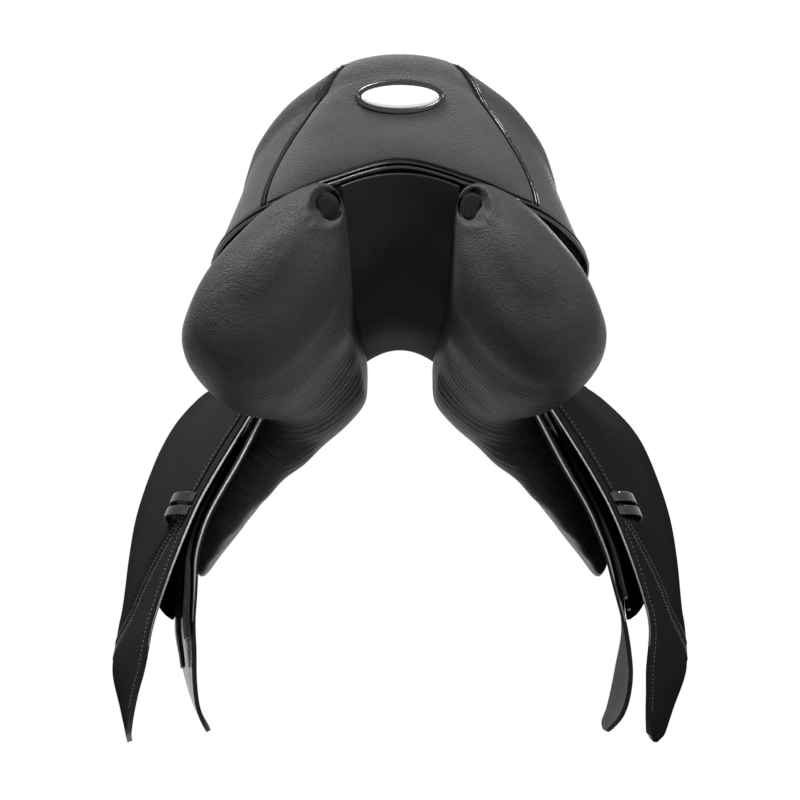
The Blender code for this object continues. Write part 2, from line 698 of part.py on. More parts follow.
def make_webs():
    def seat_web(across, back):
        y = lerp(-0.190, 0.165, back)
        x = (across - 0.5) * SEAT_WEB_WIDTH
        return Vector((x, y, tree_top(x, y) + 1.5 * CURVE_GAP + WEB_THICKNESS / 2))

    sheet("seat_web", seat_web, 4, 22, WEB_THICKNESS, "webbing")

    for place, y_middle in GIRTH_WEB_Y.items():
        def girth_web(across, back, y_middle=y_middle):
            y = y_middle + (back - 0.5) * GIRTH_WEB_WIDTH
            rail = along(TREE_HALF_WIDTH, y)
            reach = abs(2 * across - 1) * WEB_STEPS
            if reach <= WEB_STEPS_ON_TREE:
                x = rail * reach / WEB_STEPS_ON_TREE
                z = tree_top(x, y) + 2 * CURVE_GAP + 1.5 * WEB_THICKNESS
                return Vector((math.copysign(x, 2 * across - 1), y, z))
            level = tree_top(rail, y)
            strap = sweat_point("right", y, BILLET_TOP_Z, SWEAT_LEATHER / 2 + BILLET_STAND_TOP + BILLET_LEATHER)
            bend_x = rail + WEB_BEND
            below = ceiling(bend_x + WEB_BEND / 2, y) + CURVE_GAP + WEB_THICKNESS / 2
            tip_z = strap.z + CURVE_GAP + WEB_THICKNESS / 2
            route = [
                (rail, level + 2 * CURVE_GAP + 1.5 * WEB_THICKNESS), (rail + 0.6 * WEB_BEND, level + WEB_THICKNESS),
                (bend_x, lerp(level, below, 0.5)), (bend_x + WEB_BEND / 2, below),
            ]
            start = route[-1]
            for i in (1, 2, 3):
                x = lerp(start[0], strap.x, i / 3)
                rest = ceiling(x, y) + CURVE_GAP + WEB_THICKNESS / 2
                route.append((x, max(lerp(start[1], tip_z, i / 3), rest)))
            step = min(len(route) - 2, int(reach - WEB_STEPS_ON_TREE - 1e-6))
            share = reach - WEB_STEPS_ON_TREE - step
            x = lerp(route[step][0], route[step + 1][0], share)
            z = lerp(route[step][1], route[step + 1][1], share)
            return Vector((math.copysign(x, 2 * across - 1), y, z))

        sheet("girth_web_" + place, girth_web, 2 * WEB_STEPS, 3, WEB_THICKNESS, "webbing")


def make_steel():
    def head(across, back, up):
        y = lerp(0.140, 0.172, back)
        x = (across - 0.5) * 0.088
        z = tree_bottom(x, y) - CURVE_GAP
        return Vector((x, y, z - (0.0 if up else HEAD_PLATE_THICKNESS)))

    slab("head_plate", head, 8, 2, "steel")

    for side in SIDES:
        def spring(across, back, side=side):
            y = lerp(-0.120, 0.125, back)
            outer = along(TREE_HALF_WIDTH, y)
            inner = along(TREE_OPEN_HALF_WIDTH, y)
            x = lerp(inner, outer, 0.5) + (across - 0.5) * 0.010
            return Vector((x, y, tree_bottom(x, y) - SPRING_GAP - SPRING_THICKNESS / 2))

        sheet("spring_steel_" + side, mirrored(spring, side), 2, 16, SPRING_THICKNESS, "steel")


def back_share(up):
    """Share of the half outline at which a welt of the seat's back lies, from low to top."""
    return lerp(BACK_WELT_LOW_SHARE, BACK_WELT_TOP_SHARE, up) + BACK_WELT_BOW * 4 * up * (1 - up)


def make_back():
    out = CURVE_GAP + BACK_LEATHER / 2

    def back_panel(across, up):
        half = abs(2 * across - 1)
        share = half * (back_share(up) - BACK_WELT_SHARE_GAP)
        height = lerp(0.03, 0.975, up)
        point = seat_wall(share, height) + out * seat_wall_normal(share, height)
        return Vector((math.copysign(point.x, 2 * across - 1), point.y, point.z))

    sheet("cantle_back", back_panel, 24, 6, BACK_LEATHER, "seat_leather")

    for side in SIDES:
        def welt(up):
            share = back_share(up)
            height = lerp(0.05, 0.985, up)
            point = seat_wall(share, height) + (BACK_WELT_RADIUS + CURVE_GAP) * seat_wall_normal(share, height)
            return Vector((point.x * SIDES[side], point.y, point.z))

        tube("back_welt_" + side, [welt(i / 14) for i in range(15)], BACK_WELT_RADIUS, "patent_leather")

    def edge(turn):
        share = abs(turn) * EDGE_WELT_END_SHARE
        down = (edge_point(share) - rim_point(share)).normalized()
        point = edge_point(share) + down * (EDGE_WELT_RADIUS + EDGE_WELT_GAP)
        point -= seat_wall_normal(share, 0.1) * (SEAT_LEATHER / 2)
        return Vector((math.copysign(point.x, turn), point.y, point.z))

    steps = 28
    tube("edge_welt", [edge(2 * i / steps - 1) for i in range(steps + 1)], EDGE_WELT_RADIUS, "patent_leather")

    def facing(across, inward):
        half = abs(2 * across - 1)
        share = half * FACING_END_SHARE
        rim = edge_point(share)
        outer = Vector((rim.x * 0.955, lerp(rim.y, -0.10, 0.07), 0))
        inner = Vector((rim.x * 0.55, max(-0.185, rim.y * 0.80), 0))
        point = outer.lerp(inner, inward)
        low = ceiling(point.x, point.y) + CURVE_GAP + FACING_LEATHER / 2
        high = rim.z - 2 * EDGE_WELT_RADIUS - 2 * CURVE_GAP - FACING_LEATHER / 2
        z = lerp(max(low, high), low, ease(inward / 0.45))
        return Vector((math.copysign(point.x, 2 * across - 1), point.y, z))

    sheet("rear_facing", facing, 26, 4, FACING_LEATHER, "lining_leather")


def make_badge():
    share = 0.0
    low = edge_point(share)
    high = rim_point(share)
    height = (BADGE_Z - low.z) / (high.z - low.z)
    lean = math.atan2(high.y - low.y, high.z - low.z)
    centre = seat_wall(share, height)
    normal = Vector((0, -math.cos(lean), math.sin(lean)))
    up = Vector((0, math.sin(lean), math.cos(lean)))
    base = CURVE_GAP + BACK_LEATHER + GAP

    def on_back(angle, grow, out):
        x = math.cos(angle) * (BADGE_HALF_WIDTH + grow)
        z = math.sin(angle) * (BADGE_HALF_HEIGHT + grow)
        return centre + Vector((x, 0, 0)) + up * z + normal * (base + out)

    turns = [2 * math.pi * i / 40 for i in range(40)]
    grow = BADGE_RIM_RADIUS + GAP
    rim = [on_back(a, grow, BADGE_RIM_RADIUS + GAP) for a in turns]
    tube("badge_rim", rim, BADGE_RIM_RADIUS, "patent_leather", cyclic=True, resolution=1)
    rings = [[on_back(a, 0.0, GAP) for a in turns], [on_back(a, 0.0, BADGE_THICKNESS) for a in turns]]
    loft("badge_plate", rings, "plate")


def panel_ring(y, side):
    values = []
    for column in range(1, 8):
        values.append(along([(row[0], row[column]) for row in PANEL_SECTIONS], y))
    top_x, top_z, low_x, low_z, sag, top_half, low_half = values
    spread = PANEL_SPREAD[side] * ease((PANEL_SPREAD_END - y) / 0.08)
    top = Vector((top_x, top_z))
    low = Vector((low_x + spread, low_z))
    axis = low - top
    square = Vector((-axis.y, axis.x)).normalized()
    ring = []
    for i in range(PANEL_SIDES):
        angle = 2 * math.pi * i / PANEL_SIDES
        c, s = math.cos(angle), math.sin(angle)
        power = 2 / PANEL_ROUNDNESS
        t = 0.5 - 0.5 * math.copysign(abs(c) ** power, c)
        half = lerp(top_half, low_half, t)
        middle = top.lerp(low, t) - square * sag * 4 * t * (1 - t)
        if s > 0:
            half += PANEL_BACKING * ease((y - PANEL_SPREAD_END) / 0.05)
        point = middle + square * half * math.copysign(abs(s) ** power, s)
        ring.append(point)
    placed = []
    channel = along(CHANNEL_HALF_WIDTH, y)
    for point in ring:
        x = max(point.x, channel)
        z = min(point.y, ceiling(x, y) - CURVE_GAP)
        behind = max(0.0, SWEAT_REAR_Y[-1][1] - PANEL_BULGE_SETBACK - y)
        wall = sweat_x(y, z, side) - sweat_slant(side, y, z) * (SWEAT_LEATHER / 2 + SEWN_GAP)
        wall += PANEL_BULGE_SLOPE * behind
        x = min(x, wall)
        placed.append(Vector((x * SIDES[side], y, z)))
    return placed


def make_panels():
    first = PANEL_SECTIONS[0][0]
    last = PANEL_SECTIONS[-1][0]
    for side in SIDES:
        rings = []
        for i in range(PANEL_STATIONS + 1):
            share = i / PANEL_STATIONS
            spread = share - 0.06 * math.sin(2 * math.pi * share)
            rings.append(panel_ring(lerp(first, last, spread), side))
        panel = loft("panel_" + side, rings, "panel_leather")
        cutter = felt_solid("felt_pocket_" + side, side, CURVE_GAP, 0.030)
        cutter.hide_render = True
        cutter.display_type = "WIRE"
        pocket = panel.modifiers.new("felt_pocket", "BOOLEAN")
        pocket.object = cutter
        felt_solid("felt_plug_" + side, side, 0.0, 0.0)


def felt_solid(name, side, grow, reach):
    """Oval plug along Y; a cutter grows round it and reaches out of the panel's end."""
    turns = [2 * math.pi * i / 18 for i in range(18)]
    rings = []
    for y in (FELT_FACE_Y - reach, FELT_FACE_Y + FELT_DEPTH + grow):
        rings.append([
            Vector((
                SIDES[side] * FELT_X + math.cos(a) * (FELT_WIDTH / 2 + grow),
                y,
                FELT_Z + math.sin(a) * (FELT_HEIGHT / 2 + grow),
            ))
            for a in turns
        ])
    return loft(name, rings, "felt")


def make_lining():
    def lining(across, back, up):
        y = lerp(-0.240, 0.196, back)
        half = along(CHANNEL_HALF_WIDTH, y) - CURVE_GAP
        x = (2 * across - 1) * half
        z = ceiling(x, y) - along(LINING_ARCH, y) * x * x - CURVE_GAP
        return Vector((x, y, z - (0.0 if up else LINING_LEATHER)))

    slab("gullet_lining", lining, 6, 22, "lining_leather")


def make_sweat_flaps():
    for side in SIDES:
        def flap(across, down, side=side):
            share = 0.5 - 0.5 * math.cos(math.pi * down)
            share = lerp(down, share, 0.7)
            y = 0.03
            for _ in range(5):
                z = lerp(sweat_top_z(y), SWEAT_BOTTOM_Z, share)
                y = lerp(along(SWEAT_REAR_Y, z), along(SWEAT_FRONT_Y, z), across)
            return sweat_point(side, y, z)

        sheet("sweat_flap_" + side, mirrored(flap, side), 9, 13, SWEAT_LEATHER, "flap_leather")

        def knee_block(across, down, up, side=side):
            z = lerp(BLOCK_TOP_Z, BLOCK_BOTTOM_Z, down)
            front = along(SWEAT_FRONT_Y, z) - BLOCK_INSET
            y = front - BLOCK_WIDTH * (1 - across)
            foot = SWEAT_LEATHER / 2 + CURVE_GAP
            low = sweat_point(side, y, z, foot)
            if not up:
                return low
            dome = math.sqrt(max(0.0, 1 - (2 * across - 1) ** 2 * 0.96))
            ends = min(1.0, 0.15 + 4 * min(down, 1 - down))
            height = BLOCK_HEIGHT * dome * ends
            outer = flap_surface_x(y, z, side) - FLAP_LEATHER - BLOCK_CLEARANCE
            room = outer - sweat_x(y, z, side) - foot
            return sweat_point(side, y, z, foot + max(0.002, min(height, room * 0.8)))

        slab("knee_block_" + side, mirrored(knee_block, side), 6, 9, "flap_leather")


def make_flaps():
    for side in SIDES:
        hinge = bend_point(0.0)
        origin = Vector((hinge.x * SIDES[side], hinge.y, hinge.z))

        def row_drop(down):
            return lerp(BEND_GAP, FLAP_DROP, down ** 1.5)

        def flap(across, down, side=side):
            return flap_share_point(side, across, row_drop(down))

        leather(side, "flap_" + side, flap, FLAP_COLUMNS, FLAP_ROWS, FLAP_LEATHER, origin)

        def grip(across, down, side=side):
            share = min(1 - GRIP_INSET, max(GRIP_INSET, across))
            drop = max(GRIP_TOP, min(row_drop(down), along(GRIP_SEAM, share)))
            return flap_share_point(side, share, drop, SEWN_GAP + GRIP_LEATHER)

        leather(side, "flap_grip_" + side, grip, FLAP_COLUMNS, FLAP_ROWS, GRIP_LEATHER, origin)
        make_keeper(side, origin)


def make_keeper(side, origin):
    """Leather loop on the flap's outer face near its rear edge, with two rivets on the inner face."""
    on_flap = CURVE_GAP
    on_grip = on_flap + GRIP_LEATHER + SEWN_GAP

    def keeper(turn, wide, up):
        angle = math.pi * (1 - turn)
        drop = KEEPER_DROP + (wide - 0.5) * KEEPER_LENGTH
        width = flap_edge_y(FLAP_FRONT_Y, drop) - flap_edge_y(FLAP_REAR_Y, drop)
        half = (KEEPER_SHARES[1] - KEEPER_SHARES[0]) / 2 + (up - 0.5) * KEEPER_LEATHER / width
        share = sum(KEEPER_SHARES) / 2 + half * math.cos(angle)
        lift = lerp(on_flap, on_grip, turn) + math.sin(angle) * (KEEPER_HEIGHT + (up - 0.5) * KEEPER_LEATHER)
        return flap_share_point(side, share, drop, lift)

    slab("keeper_" + side, mirrored(keeper, side), 12, 2, "flap_leather", origin)

    for place, step in (("upper", -0.5), ("lower", 0.5)):
        drop = KEEPER_DROP + step * RIVET_SPACING
        centre = flap_share_point(side, RIVET_SHARE, drop)
        inner = flap_share_point(side, RIVET_SHARE, drop, -1.0) - centre
        foot = centre + inner * (FLAP_LEATHER + CURVE_GAP)
        sideways = inner.cross(Vector((0, 0, 1))).normalized()
        upward = sideways.cross(inner).normalized()
        turns = [2 * math.pi * i / 12 for i in range(12)]
        rings = []
        for rise, radius in ((0.0, RIVET_RADIUS), (0.6 * RIVET_HEAD, RIVET_RADIUS), (RIVET_HEAD, 0.6 * RIVET_RADIUS)):
            ring = []
            for a in turns:
                spoke = sideways * math.cos(a) + upward * math.sin(a)
                point = foot + inner * rise + spoke * radius
                ring.append(Vector((point.x * SIDES[side], point.y, point.z)))
            rings.append(ring)
        loft("keeper_rivet_" + place + "_" + side, rings, "steel", origin)


def straight_edge(y):
    """Lower edge of the seat along the skirt, where it runs straight."""
    low, high = SEAT_EDGE[9], SEAT_EDGE[12]
    t = (y - low[1]) / (high[1] - low[1])
    return Vector((lerp(low[0], high[0], t), y, lerp(low[2], high[2], t)))


def flap_root(y):
    """Upper end of the outer flap's fixed part, tucked under the lower edge of the seat."""
    root = straight_edge(y) - Vector((0.0, 0, ROOT_GAP))
    root.x = min(root.x, bend_point(y).x - FLAP_ROOT_INSET)
    return root


def flap_fall(y):
    """Unit normal, pointing outwards, of the line from the flap's root to the bend line."""
    fall = bend_point(y) - straight_edge(y)
    return Vector((-fall.z, 0, fall.x)).normalized()


def make_flap_tops():
    for side in SIDES:
        def top(along_y, down):
            y = lerp(TOP_REAR_Y, TOP_FRONT_Y, along_y)
            cut = ease((y - TOP_CUT_REAR_Y) / 0.012) * ease((TOP_CUT_FRONT_Y - y) / 0.012)
            start = flap_root(y)
            end = bend_point(y) + (start - bend_point(y)).normalized() * BEND_GAP
            return start.lerp(end, lerp(TOP_CUT_DEPTH * cut, 1.0, down))

        leather(side, "flap_top_" + side, top, 20, 3, FLAP_LEATHER)


def make_skirts():
    for side in SIDES:
        hinge = straight_edge(0.0) + Vector((SKIRT_STAND, 0, 0.0005))
        origin = Vector((hinge.x * SIDES[side], hinge.y, hinge.z))

        def skirt(along_y, down):
            y = lerp(SKIRT_REAR_Y, SKIRT_FRONT_Y, along_y)
            top = straight_edge(y) + Vector((SKIRT_STAND, 0, 0.0005))
            low = bend_point(y) + flap_fall(y) * SKIRT_END
            from_end = min(y - SKIRT_REAR_Y, SKIRT_FRONT_Y - y)
            corner = 1 - math.sqrt(max(0.0, 1 - (1 - min(1.0, from_end / SKIRT_CORNER)) ** 2))
            share = down * (0.93 - 0.45 * corner)
            bulge = SKIRT_BULGE * math.sin(math.pi * min(1.0, share)) ** 0.8
            return top.lerp(low, share) + flap_fall(y) * bulge

        sheet("skirt_" + side, mirrored(skirt, side), 14, 5, SKIRT_LEATHER, "flap_leather", origin)


def make_bars():
    for side in SIDES:
        sign = SIDES[side]
        bm = bmesh.new()
        x0, x1 = BAR_X - BAR_WIDTH / 2, BAR_X + BAR_WIDTH / 2
        outline = (
            (BAR_ROOT_X, BAR_FRONT_Y - BAR_ARM_WIDTH), (BAR_ROOT_X, BAR_FRONT_Y), (x1, BAR_FRONT_Y),
            (x1, BAR_REAR_Y), (x0, BAR_REAR_Y), (x0, BAR_FRONT_Y - BAR_ARM_WIDTH),
        )

        def bar_z(x, y):
            root = tree_top(x, y) + CURVE_GAP + BAR_PLATE_THICKNESS / 2
            slope = ease((x - 0.052) / (x0 - 0.052))
            leaf = BAR_Z - BAR_DIP * (BAR_FRONT_Y - y)
            return lerp(root, leaf, slope)

        verts = [bm.verts.new((x, y, 0.0)) for x, y in outline]
        face = bm.faces.new(verts)
        for x in (0.046, 0.052, 0.060, 0.070, 0.080):
            bmesh.ops.bisect_plane(bm, geom=bm.verts[:] + bm.edges[:] + bm.faces[:], plane_co=(x, 0, 0), plane_no=(1, 0, 0))
        raised = bmesh.ops.extrude_face_region(bm, geom=list(bm.faces), use_keep_orig=True)
        upper = {element for element in raised["geom"] if isinstance(element, bmesh.types.BMVert)}
        for vert in bm.verts:
            x, y = vert.co.x, vert.co.y
            half = lerp(BAR_PLATE_THICKNESS, BAR_HEIGHT, ease((x - 0.056) / (x0 - 0.056))) / 2
            z = bar_z(x, y) + (half if vert in upper else -half)
            vert.co = (x * sign, y, z)
        bmesh.ops.recalc_face_normals(bm, faces=bm.faces)
        add_object("stirrup_bar_" + side, bm, "steel", smooth=False)

        pin_y = BAR_REAR_Y - GAP
        pin_z = BAR_Z - BAR_DIP * (BAR_FRONT_Y - BAR_REAR_Y)
        half = CATCH_THICKNESS / 2
        turns = [math.pi * i / 6 - math.pi / 2 for i in range(7)]
        profile = [(pin_y - half + half * math.cos(a), pin_z + half * math.sin(a)) for a in turns]
        profile += [(pin_y - CATCH_LENGTH, pin_z + half * 0.8), (pin_y - CATCH_LENGTH, pin_z - half * 0.8)]
        rings = [[Vector((sign * x, y, z)) for y, z in profile] for x in (x0 + 0.001, x1 - 0.001)]
        loft("safety_catch_" + side, rings, "steel", (sign * BAR_X, pin_y - half, pin_z))


def billet_lean(side, middle, end_z):
    """Rearward lean at which a strap hangs still on the slanted sweat flap."""
    half_z = lerp(BILLET_TOP_Z, end_z, 0.5)
    slope = sweat_slopes(side, middle, half_z)[0]
    reach = sweat_x(middle, half_z, side) - sweat_x(middle, BILLET_TOP_Z, side)
    return slope * reach / (BILLET_TOP_Z - half_z)


def make_billets():
    for side in SIDES:
        for place in GIRTH_WEB_Y:
            end_z = BILLET_END_Z[(side, place)]
            middle = GIRTH_WEB_Y[place]
            lean = billet_lean(side, middle, end_z)

            def strap(across, down, side=side):
                z = lerp(BILLET_TOP_Z, end_z, down)
                drop = BILLET_TOP_Z - z
                round_off = max(0.0, 1 - (drop + 0.001) / BILLET_PIVOT)
                width = BILLET_WIDTH * math.sqrt(1 - round_off ** 2)
                y = middle - lean * drop + (across - 0.5) * width
                stand = lerp(BILLET_STAND_TOP, BILLET_STAND_LOW, ease(down))
                return sweat_point(side, y, z, SWEAT_LEATHER / 2 + stand + BILLET_LEATHER / 2)

            pivot = mirrored(strap, side)(0.5, BILLET_PIVOT / (BILLET_TOP_Z - end_z))
            sheet("billet_" + place + "_" + side, mirrored(strap, side), 2, 12, BILLET_LEATHER, "flap_leather", pivot)


def make_dees():
    for side in SIDES:
        foot = seat_wall(DEE_SHARE, DEE_HEIGHT_SHARE)
        normal = seat_wall_normal(DEE_SHARE, DEE_HEIGHT_SHARE)
        forward = Vector((-normal.y, normal.x, 0)).normalized()
        down = normal.cross(forward).normalized()
        if down.z > 0:
            down = -down

        def staple_point(across, out):
            point = foot + down * across + normal * out
            return Vector((point.x * SIDES[side], point.y, point.z))

        w, straight = STAPLE_HALF_WIDTH, STAPLE_REACH - STAPLE_HALF_WIDTH
        shape = [(-w, -STAPLE_SINK)]
        for i in range(7):
            a = math.pi * (1 - i / 6)
            shape.append((w * math.cos(a), straight + w * math.sin(a)))
        shape.append((w, -STAPLE_SINK))
        wire = [staple_point(a, o) for a, o in shape]
        tube("dee_staple_" + side, wire, STAPLE_WIRE_RADIUS, "steel", resolution=1)

        pin = foot + normal * (STAPLE_REACH - STAPLE_WIRE_RADIUS - DEE_WIRE_RADIUS - GAP)

        def dee_point(across, drop):
            point = pin + forward * across + down * drop
            return Vector((point.x * SIDES[side], point.y, point.z))

        ring = [(-DEE_HALF_WIDTH, 0.0), (0.0, 0.0), (DEE_HALF_WIDTH, 0.0), (DEE_HALF_WIDTH, DEE_DROP * 0.45)]
        for i in range(1, 8):
            a = math.pi * i / 8
            ring.append((DEE_HALF_WIDTH * math.cos(a), DEE_DROP * 0.45 + DEE_DROP * 0.55 * math.sin(a)))
        ring.append((-DEE_HALF_WIDTH, DEE_DROP * 0.45))
        origin = dee_point(0.0, 0.0)
        tube("dee_ring_" + side, [dee_point(a, d) for a, d in ring], DEE_WIRE_RADIUS, "steel", cyclic=True, origin=origin)


def main():
    clear_scene()
    make_tree()
    make_steel()
    make_webs()
    make_seat()
    make_back()
    make_badge()
    make_panels()
    make_lining()
    make_sweat_flaps()
    make_flaps()
    make_flap_tops()
    make_skirts()
    make_bars()
    make_billets()
    make_dees()


main()
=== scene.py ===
"""Looks of the dressage saddle: leather, cushions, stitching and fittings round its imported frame.

Metres, +Z up. The saddle faces +Y. The shapes follow the same curves as the frame's own pieces.
"""

import math

import bmesh
import bpy
from mathutils import Matrix, Vector, kdtree


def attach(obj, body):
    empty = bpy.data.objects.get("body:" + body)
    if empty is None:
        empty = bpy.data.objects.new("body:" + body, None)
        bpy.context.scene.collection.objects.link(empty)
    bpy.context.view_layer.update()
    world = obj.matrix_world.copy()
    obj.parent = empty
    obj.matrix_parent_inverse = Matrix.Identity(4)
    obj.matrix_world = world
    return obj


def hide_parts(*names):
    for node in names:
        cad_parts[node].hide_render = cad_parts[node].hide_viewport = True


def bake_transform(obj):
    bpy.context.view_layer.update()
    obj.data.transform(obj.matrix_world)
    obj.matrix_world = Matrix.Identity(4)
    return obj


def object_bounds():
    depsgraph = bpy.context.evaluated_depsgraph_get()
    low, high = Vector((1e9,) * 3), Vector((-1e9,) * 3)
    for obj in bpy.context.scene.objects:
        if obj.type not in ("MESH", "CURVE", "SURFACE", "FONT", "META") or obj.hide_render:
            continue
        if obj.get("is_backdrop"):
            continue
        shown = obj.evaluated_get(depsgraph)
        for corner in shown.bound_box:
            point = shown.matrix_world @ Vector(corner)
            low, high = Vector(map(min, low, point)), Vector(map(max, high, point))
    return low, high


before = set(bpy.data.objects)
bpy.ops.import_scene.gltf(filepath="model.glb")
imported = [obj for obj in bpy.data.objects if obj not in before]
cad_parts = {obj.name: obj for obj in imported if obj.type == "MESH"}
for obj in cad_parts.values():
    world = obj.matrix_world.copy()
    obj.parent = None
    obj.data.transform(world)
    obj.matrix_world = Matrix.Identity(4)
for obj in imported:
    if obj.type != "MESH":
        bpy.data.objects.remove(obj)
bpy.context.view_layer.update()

bl_info = {
    "name": "Dressage Saddle",
    "version": (1, 0, 0),
    "blender": (4, 5, 0),
    "location": "3D View > Sidebar > Saddle",
    "description": "Builds the leather, cushions and stitching of a dressage saddle",
    "category": "Object",
}

# Sizes and curves of the saddle, as its frame has them
GAP = 0.0003
CURVE_GAP = 0.0007
FOAM_GAP = 0.0023
SEWN_GAP = 0.0011
SPRING_GAP = 0.0011
SEAT_LEATHER = 0.003
BACK_LEATHER = 0.0016
FACING_LEATHER = 0.003
LINING_LEATHER = 0.0025
FLAP_LEATHER = 0.0048
GRIP_LEATHER = 0.003
SWEAT_LEATHER = 0.0042
SKIRT_LEATHER = 0.0036
BILLET_LEATHER = 0.0036
KEEPER_LEATHER = 0.0022
WEB_THICKNESS = 0.0016
TREE_THICKNESS = 0.012
SPRING_THICKNESS = 0.0015
SEAT_LINE = (
    (-0.236, 0.2655), (-0.2, 0.2142), (-0.16, 0.167), (-0.11, 0.127), (-0.05, 0.104),
    (0.01, 0.102), (0.07, 0.114), (0.13, 0.14), (0.175, 0.158), (0.207, 0.156),
)
SEAT_FALL = (
    (-0.236, 3.8), (-0.216, 1.2), (-0.197, 0.1), (-0.171, -0.75), (-0.14, -0.85), (-0.105, -0.2),
    (-0.06, 1.0), (0.0, 2.3), (0.1, 4.0), (0.2, 6.0),
)
FOAM_DEPTH = ((-0.236, 0.008), (-0.15, 0.014), (0.0, 0.02), (0.207, 0.018))
SEAT_RIM = (
    (0.0, -0.236), (0.044, -0.236), (0.081, -0.228), (0.099, -0.216), (0.116, -0.197), (0.129, -0.171),
    (0.138, -0.14), (0.139, -0.105), (0.122, -0.06), (0.1, -0.01), (0.08, 0.05), (0.067, 0.11),
    (0.056, 0.16), (0.036, 0.196), (0.0, 0.207),
)
SEAT_EDGE = (
    (0.0, -0.228, 0.1695), (0.061, -0.223, 0.155), (0.0975, -0.214, 0.142), (0.123, -0.2, 0.1345),
    (0.144, -0.183, 0.1245), (0.16, -0.16, 0.1135), (0.168, -0.132, 0.101), (0.161, -0.09, 0.078),
    (0.141, -0.055, 0.061), (0.12, -0.03, 0.055), (0.1026, 0.05, 0.0762), (0.0917, 0.1, 0.0895),
    (0.0775, 0.165, 0.1067), (0.052, 0.197, 0.117), (0.0, 0.212, 0.124),
)
SEAT_CENTRE = (-0.12, 0.14)
CEILING = (
    (-0.24, 0.1575), (-0.2, 0.133), (-0.15, 0.1), (-0.1, 0.075), (-0.05, 0.062), (0.0, 0.059),
    (0.05, 0.066), (0.1, 0.078), (0.15, 0.095), (0.2, 0.112),
)
CEILING_FALL = ((-0.24, 1.7), (-0.2, 1.2), (-0.15, 0.4), (0.0, 2.4), (0.1, 3.5), (0.2, 5.0))
CHANNEL_HALF_WIDTH = (
    (-0.24, 0.049), (-0.12, 0.041), (0.0, 0.031), (0.08, 0.032), (0.16, 0.04), (0.2, 0.045),
)
LINING_ARCH = ((-0.24, 2.7), (-0.12, 4.0), (0.0, 8.0), (0.1, 5.0), (0.2, 3.0))
TREE_HALF_WIDTH = (
    (-0.222, 0.036), (-0.21, 0.064), (-0.19, 0.09), (-0.165, 0.108), (-0.13, 0.112), (-0.09, 0.096),
    (-0.05, 0.078), (0.0, 0.062), (0.05, 0.057), (0.1, 0.056), (0.15, 0.05), (0.186, 0.032),
)
PANEL_SECTIONS = (
    (-0.253, 0.086, 0.104, 0.124, 0.046, 0.0, 0.014, 0.018),
    (-0.246, 0.07, 0.122, 0.142, 0.022, 0.003, 0.031, 0.038),
    (-0.23, 0.06, 0.134, 0.155, 0.002, 0.006, 0.041, 0.05),
    (-0.2, 0.055, 0.132, 0.161, -0.012, 0.008, 0.046, 0.057),
    (-0.16, 0.052, 0.106, 0.158, -0.02, 0.008, 0.045, 0.056),
    (-0.12, 0.05, 0.082, 0.143, -0.024, 0.006, 0.039, 0.048),
    (-0.08, 0.046, 0.064, 0.118, -0.026, 0.004, 0.034, 0.038),
    (-0.04, 0.042, 0.054, 0.118, -0.04, 0.004, 0.048, 0.03),
    (0.0, 0.042, 0.05, 0.142, -0.085, 0.0, 0.052, 0.017),
    (0.04, 0.043, 0.05, 0.174, -0.136, -0.013, 0.044, 0.011),
    (0.08, 0.045, 0.056, 0.192, -0.16, -0.016, 0.042, 0.01),
    (0.12, 0.05, 0.066, 0.194, -0.158, -0.016, 0.041, 0.01),
    (0.155, 0.056, 0.078, 0.182, -0.127, -0.01, 0.036, 0.01),
    (0.185, 0.066, 0.082, 0.15, -0.06, -0.004, 0.026, 0.012),
    (0.202, 0.078, 0.078, 0.122, -0.008, 0.0, 0.012, 0.01),
)
PANEL_SPREAD = {"left": 0.012, "right": 0.0}
PANEL_SPREAD_END = -0.05
PANEL_BACKING = 0.02
PANEL_ROUNDNESS = 2.5
PANEL_BULGE_SETBACK = 0.026
PANEL_BULGE_SLOPE = 9.0
FELT_X = 0.0595
FELT_Z = 0.1215
FELT_WIDTH = 0.018
FELT_HEIGHT = 0.023
FLAP_REAR_Y = (
    (-0.323, 0.06), (-0.315, 0.03), (-0.293, 0.0), (-0.256, -0.028), (-0.196, -0.045), (-0.1, -0.066),
    (-0.019, -0.081), (0.03, -0.083),
)
FLAP_FRONT_Y = (
    (-0.323, 0.095), (-0.315, 0.118), (-0.293, 0.14), (-0.245, 0.172), (-0.197, 0.195), (-0.15, 0.214),
    (-0.1, 0.226), (-0.05, 0.224), (0.0, 0.208), (0.045, 0.182),
)
FLAP_REAR_X = (
    (-0.323, 0.2605), (-0.281, 0.248), (-0.256, 0.2395), (-0.218, 0.2315), (-0.186, 0.221), (-0.153, 0.2085),
    (-0.108, 0.189), (-0.073, 0.169), (-0.019, 0.134), (0.042, 0.094),
)
FLAP_CREST_X = (
    (-0.323, 0.2655), (-0.289, 0.275), (-0.248, 0.284), (-0.194, 0.271), (-0.14, 0.265), (-0.106, 0.26),
    (-0.052, 0.244), (-0.011, 0.2245), (0.019, 0.199), (0.033, 0.18), (0.055, 0.155), (0.085, 0.125),
)
FLAP_CREST_Y = 0.12
FLAP_EASE = 1.5
FLAP_FRONT_CURL = 0.02
FLAP_BOTTOM_Z = -0.323
FLAP_FADE = 0.08
FLAP_TUCK_FROM = -0.2
FLAP_TUCK = {"left": 0.0, "right": 0.022}
FLAP_TUCK_FADE = 0.65
FLAP_FLARE = {"left": 0.0, "right": 0.006}
BEND_REAR = (0.112, -0.09, 0.015)
BEND_SPREAD = 0.23
BEND_RISE = 0.18
SWEAT_REAR_Y = (
    (-0.312, 0.02), (-0.302, 0.002), (-0.29, -0.01), (-0.254, -0.035), (-0.214, -0.048), (-0.168, -0.057),
    (-0.129, -0.068), (-0.072, -0.08), (0.022, -0.088),
)
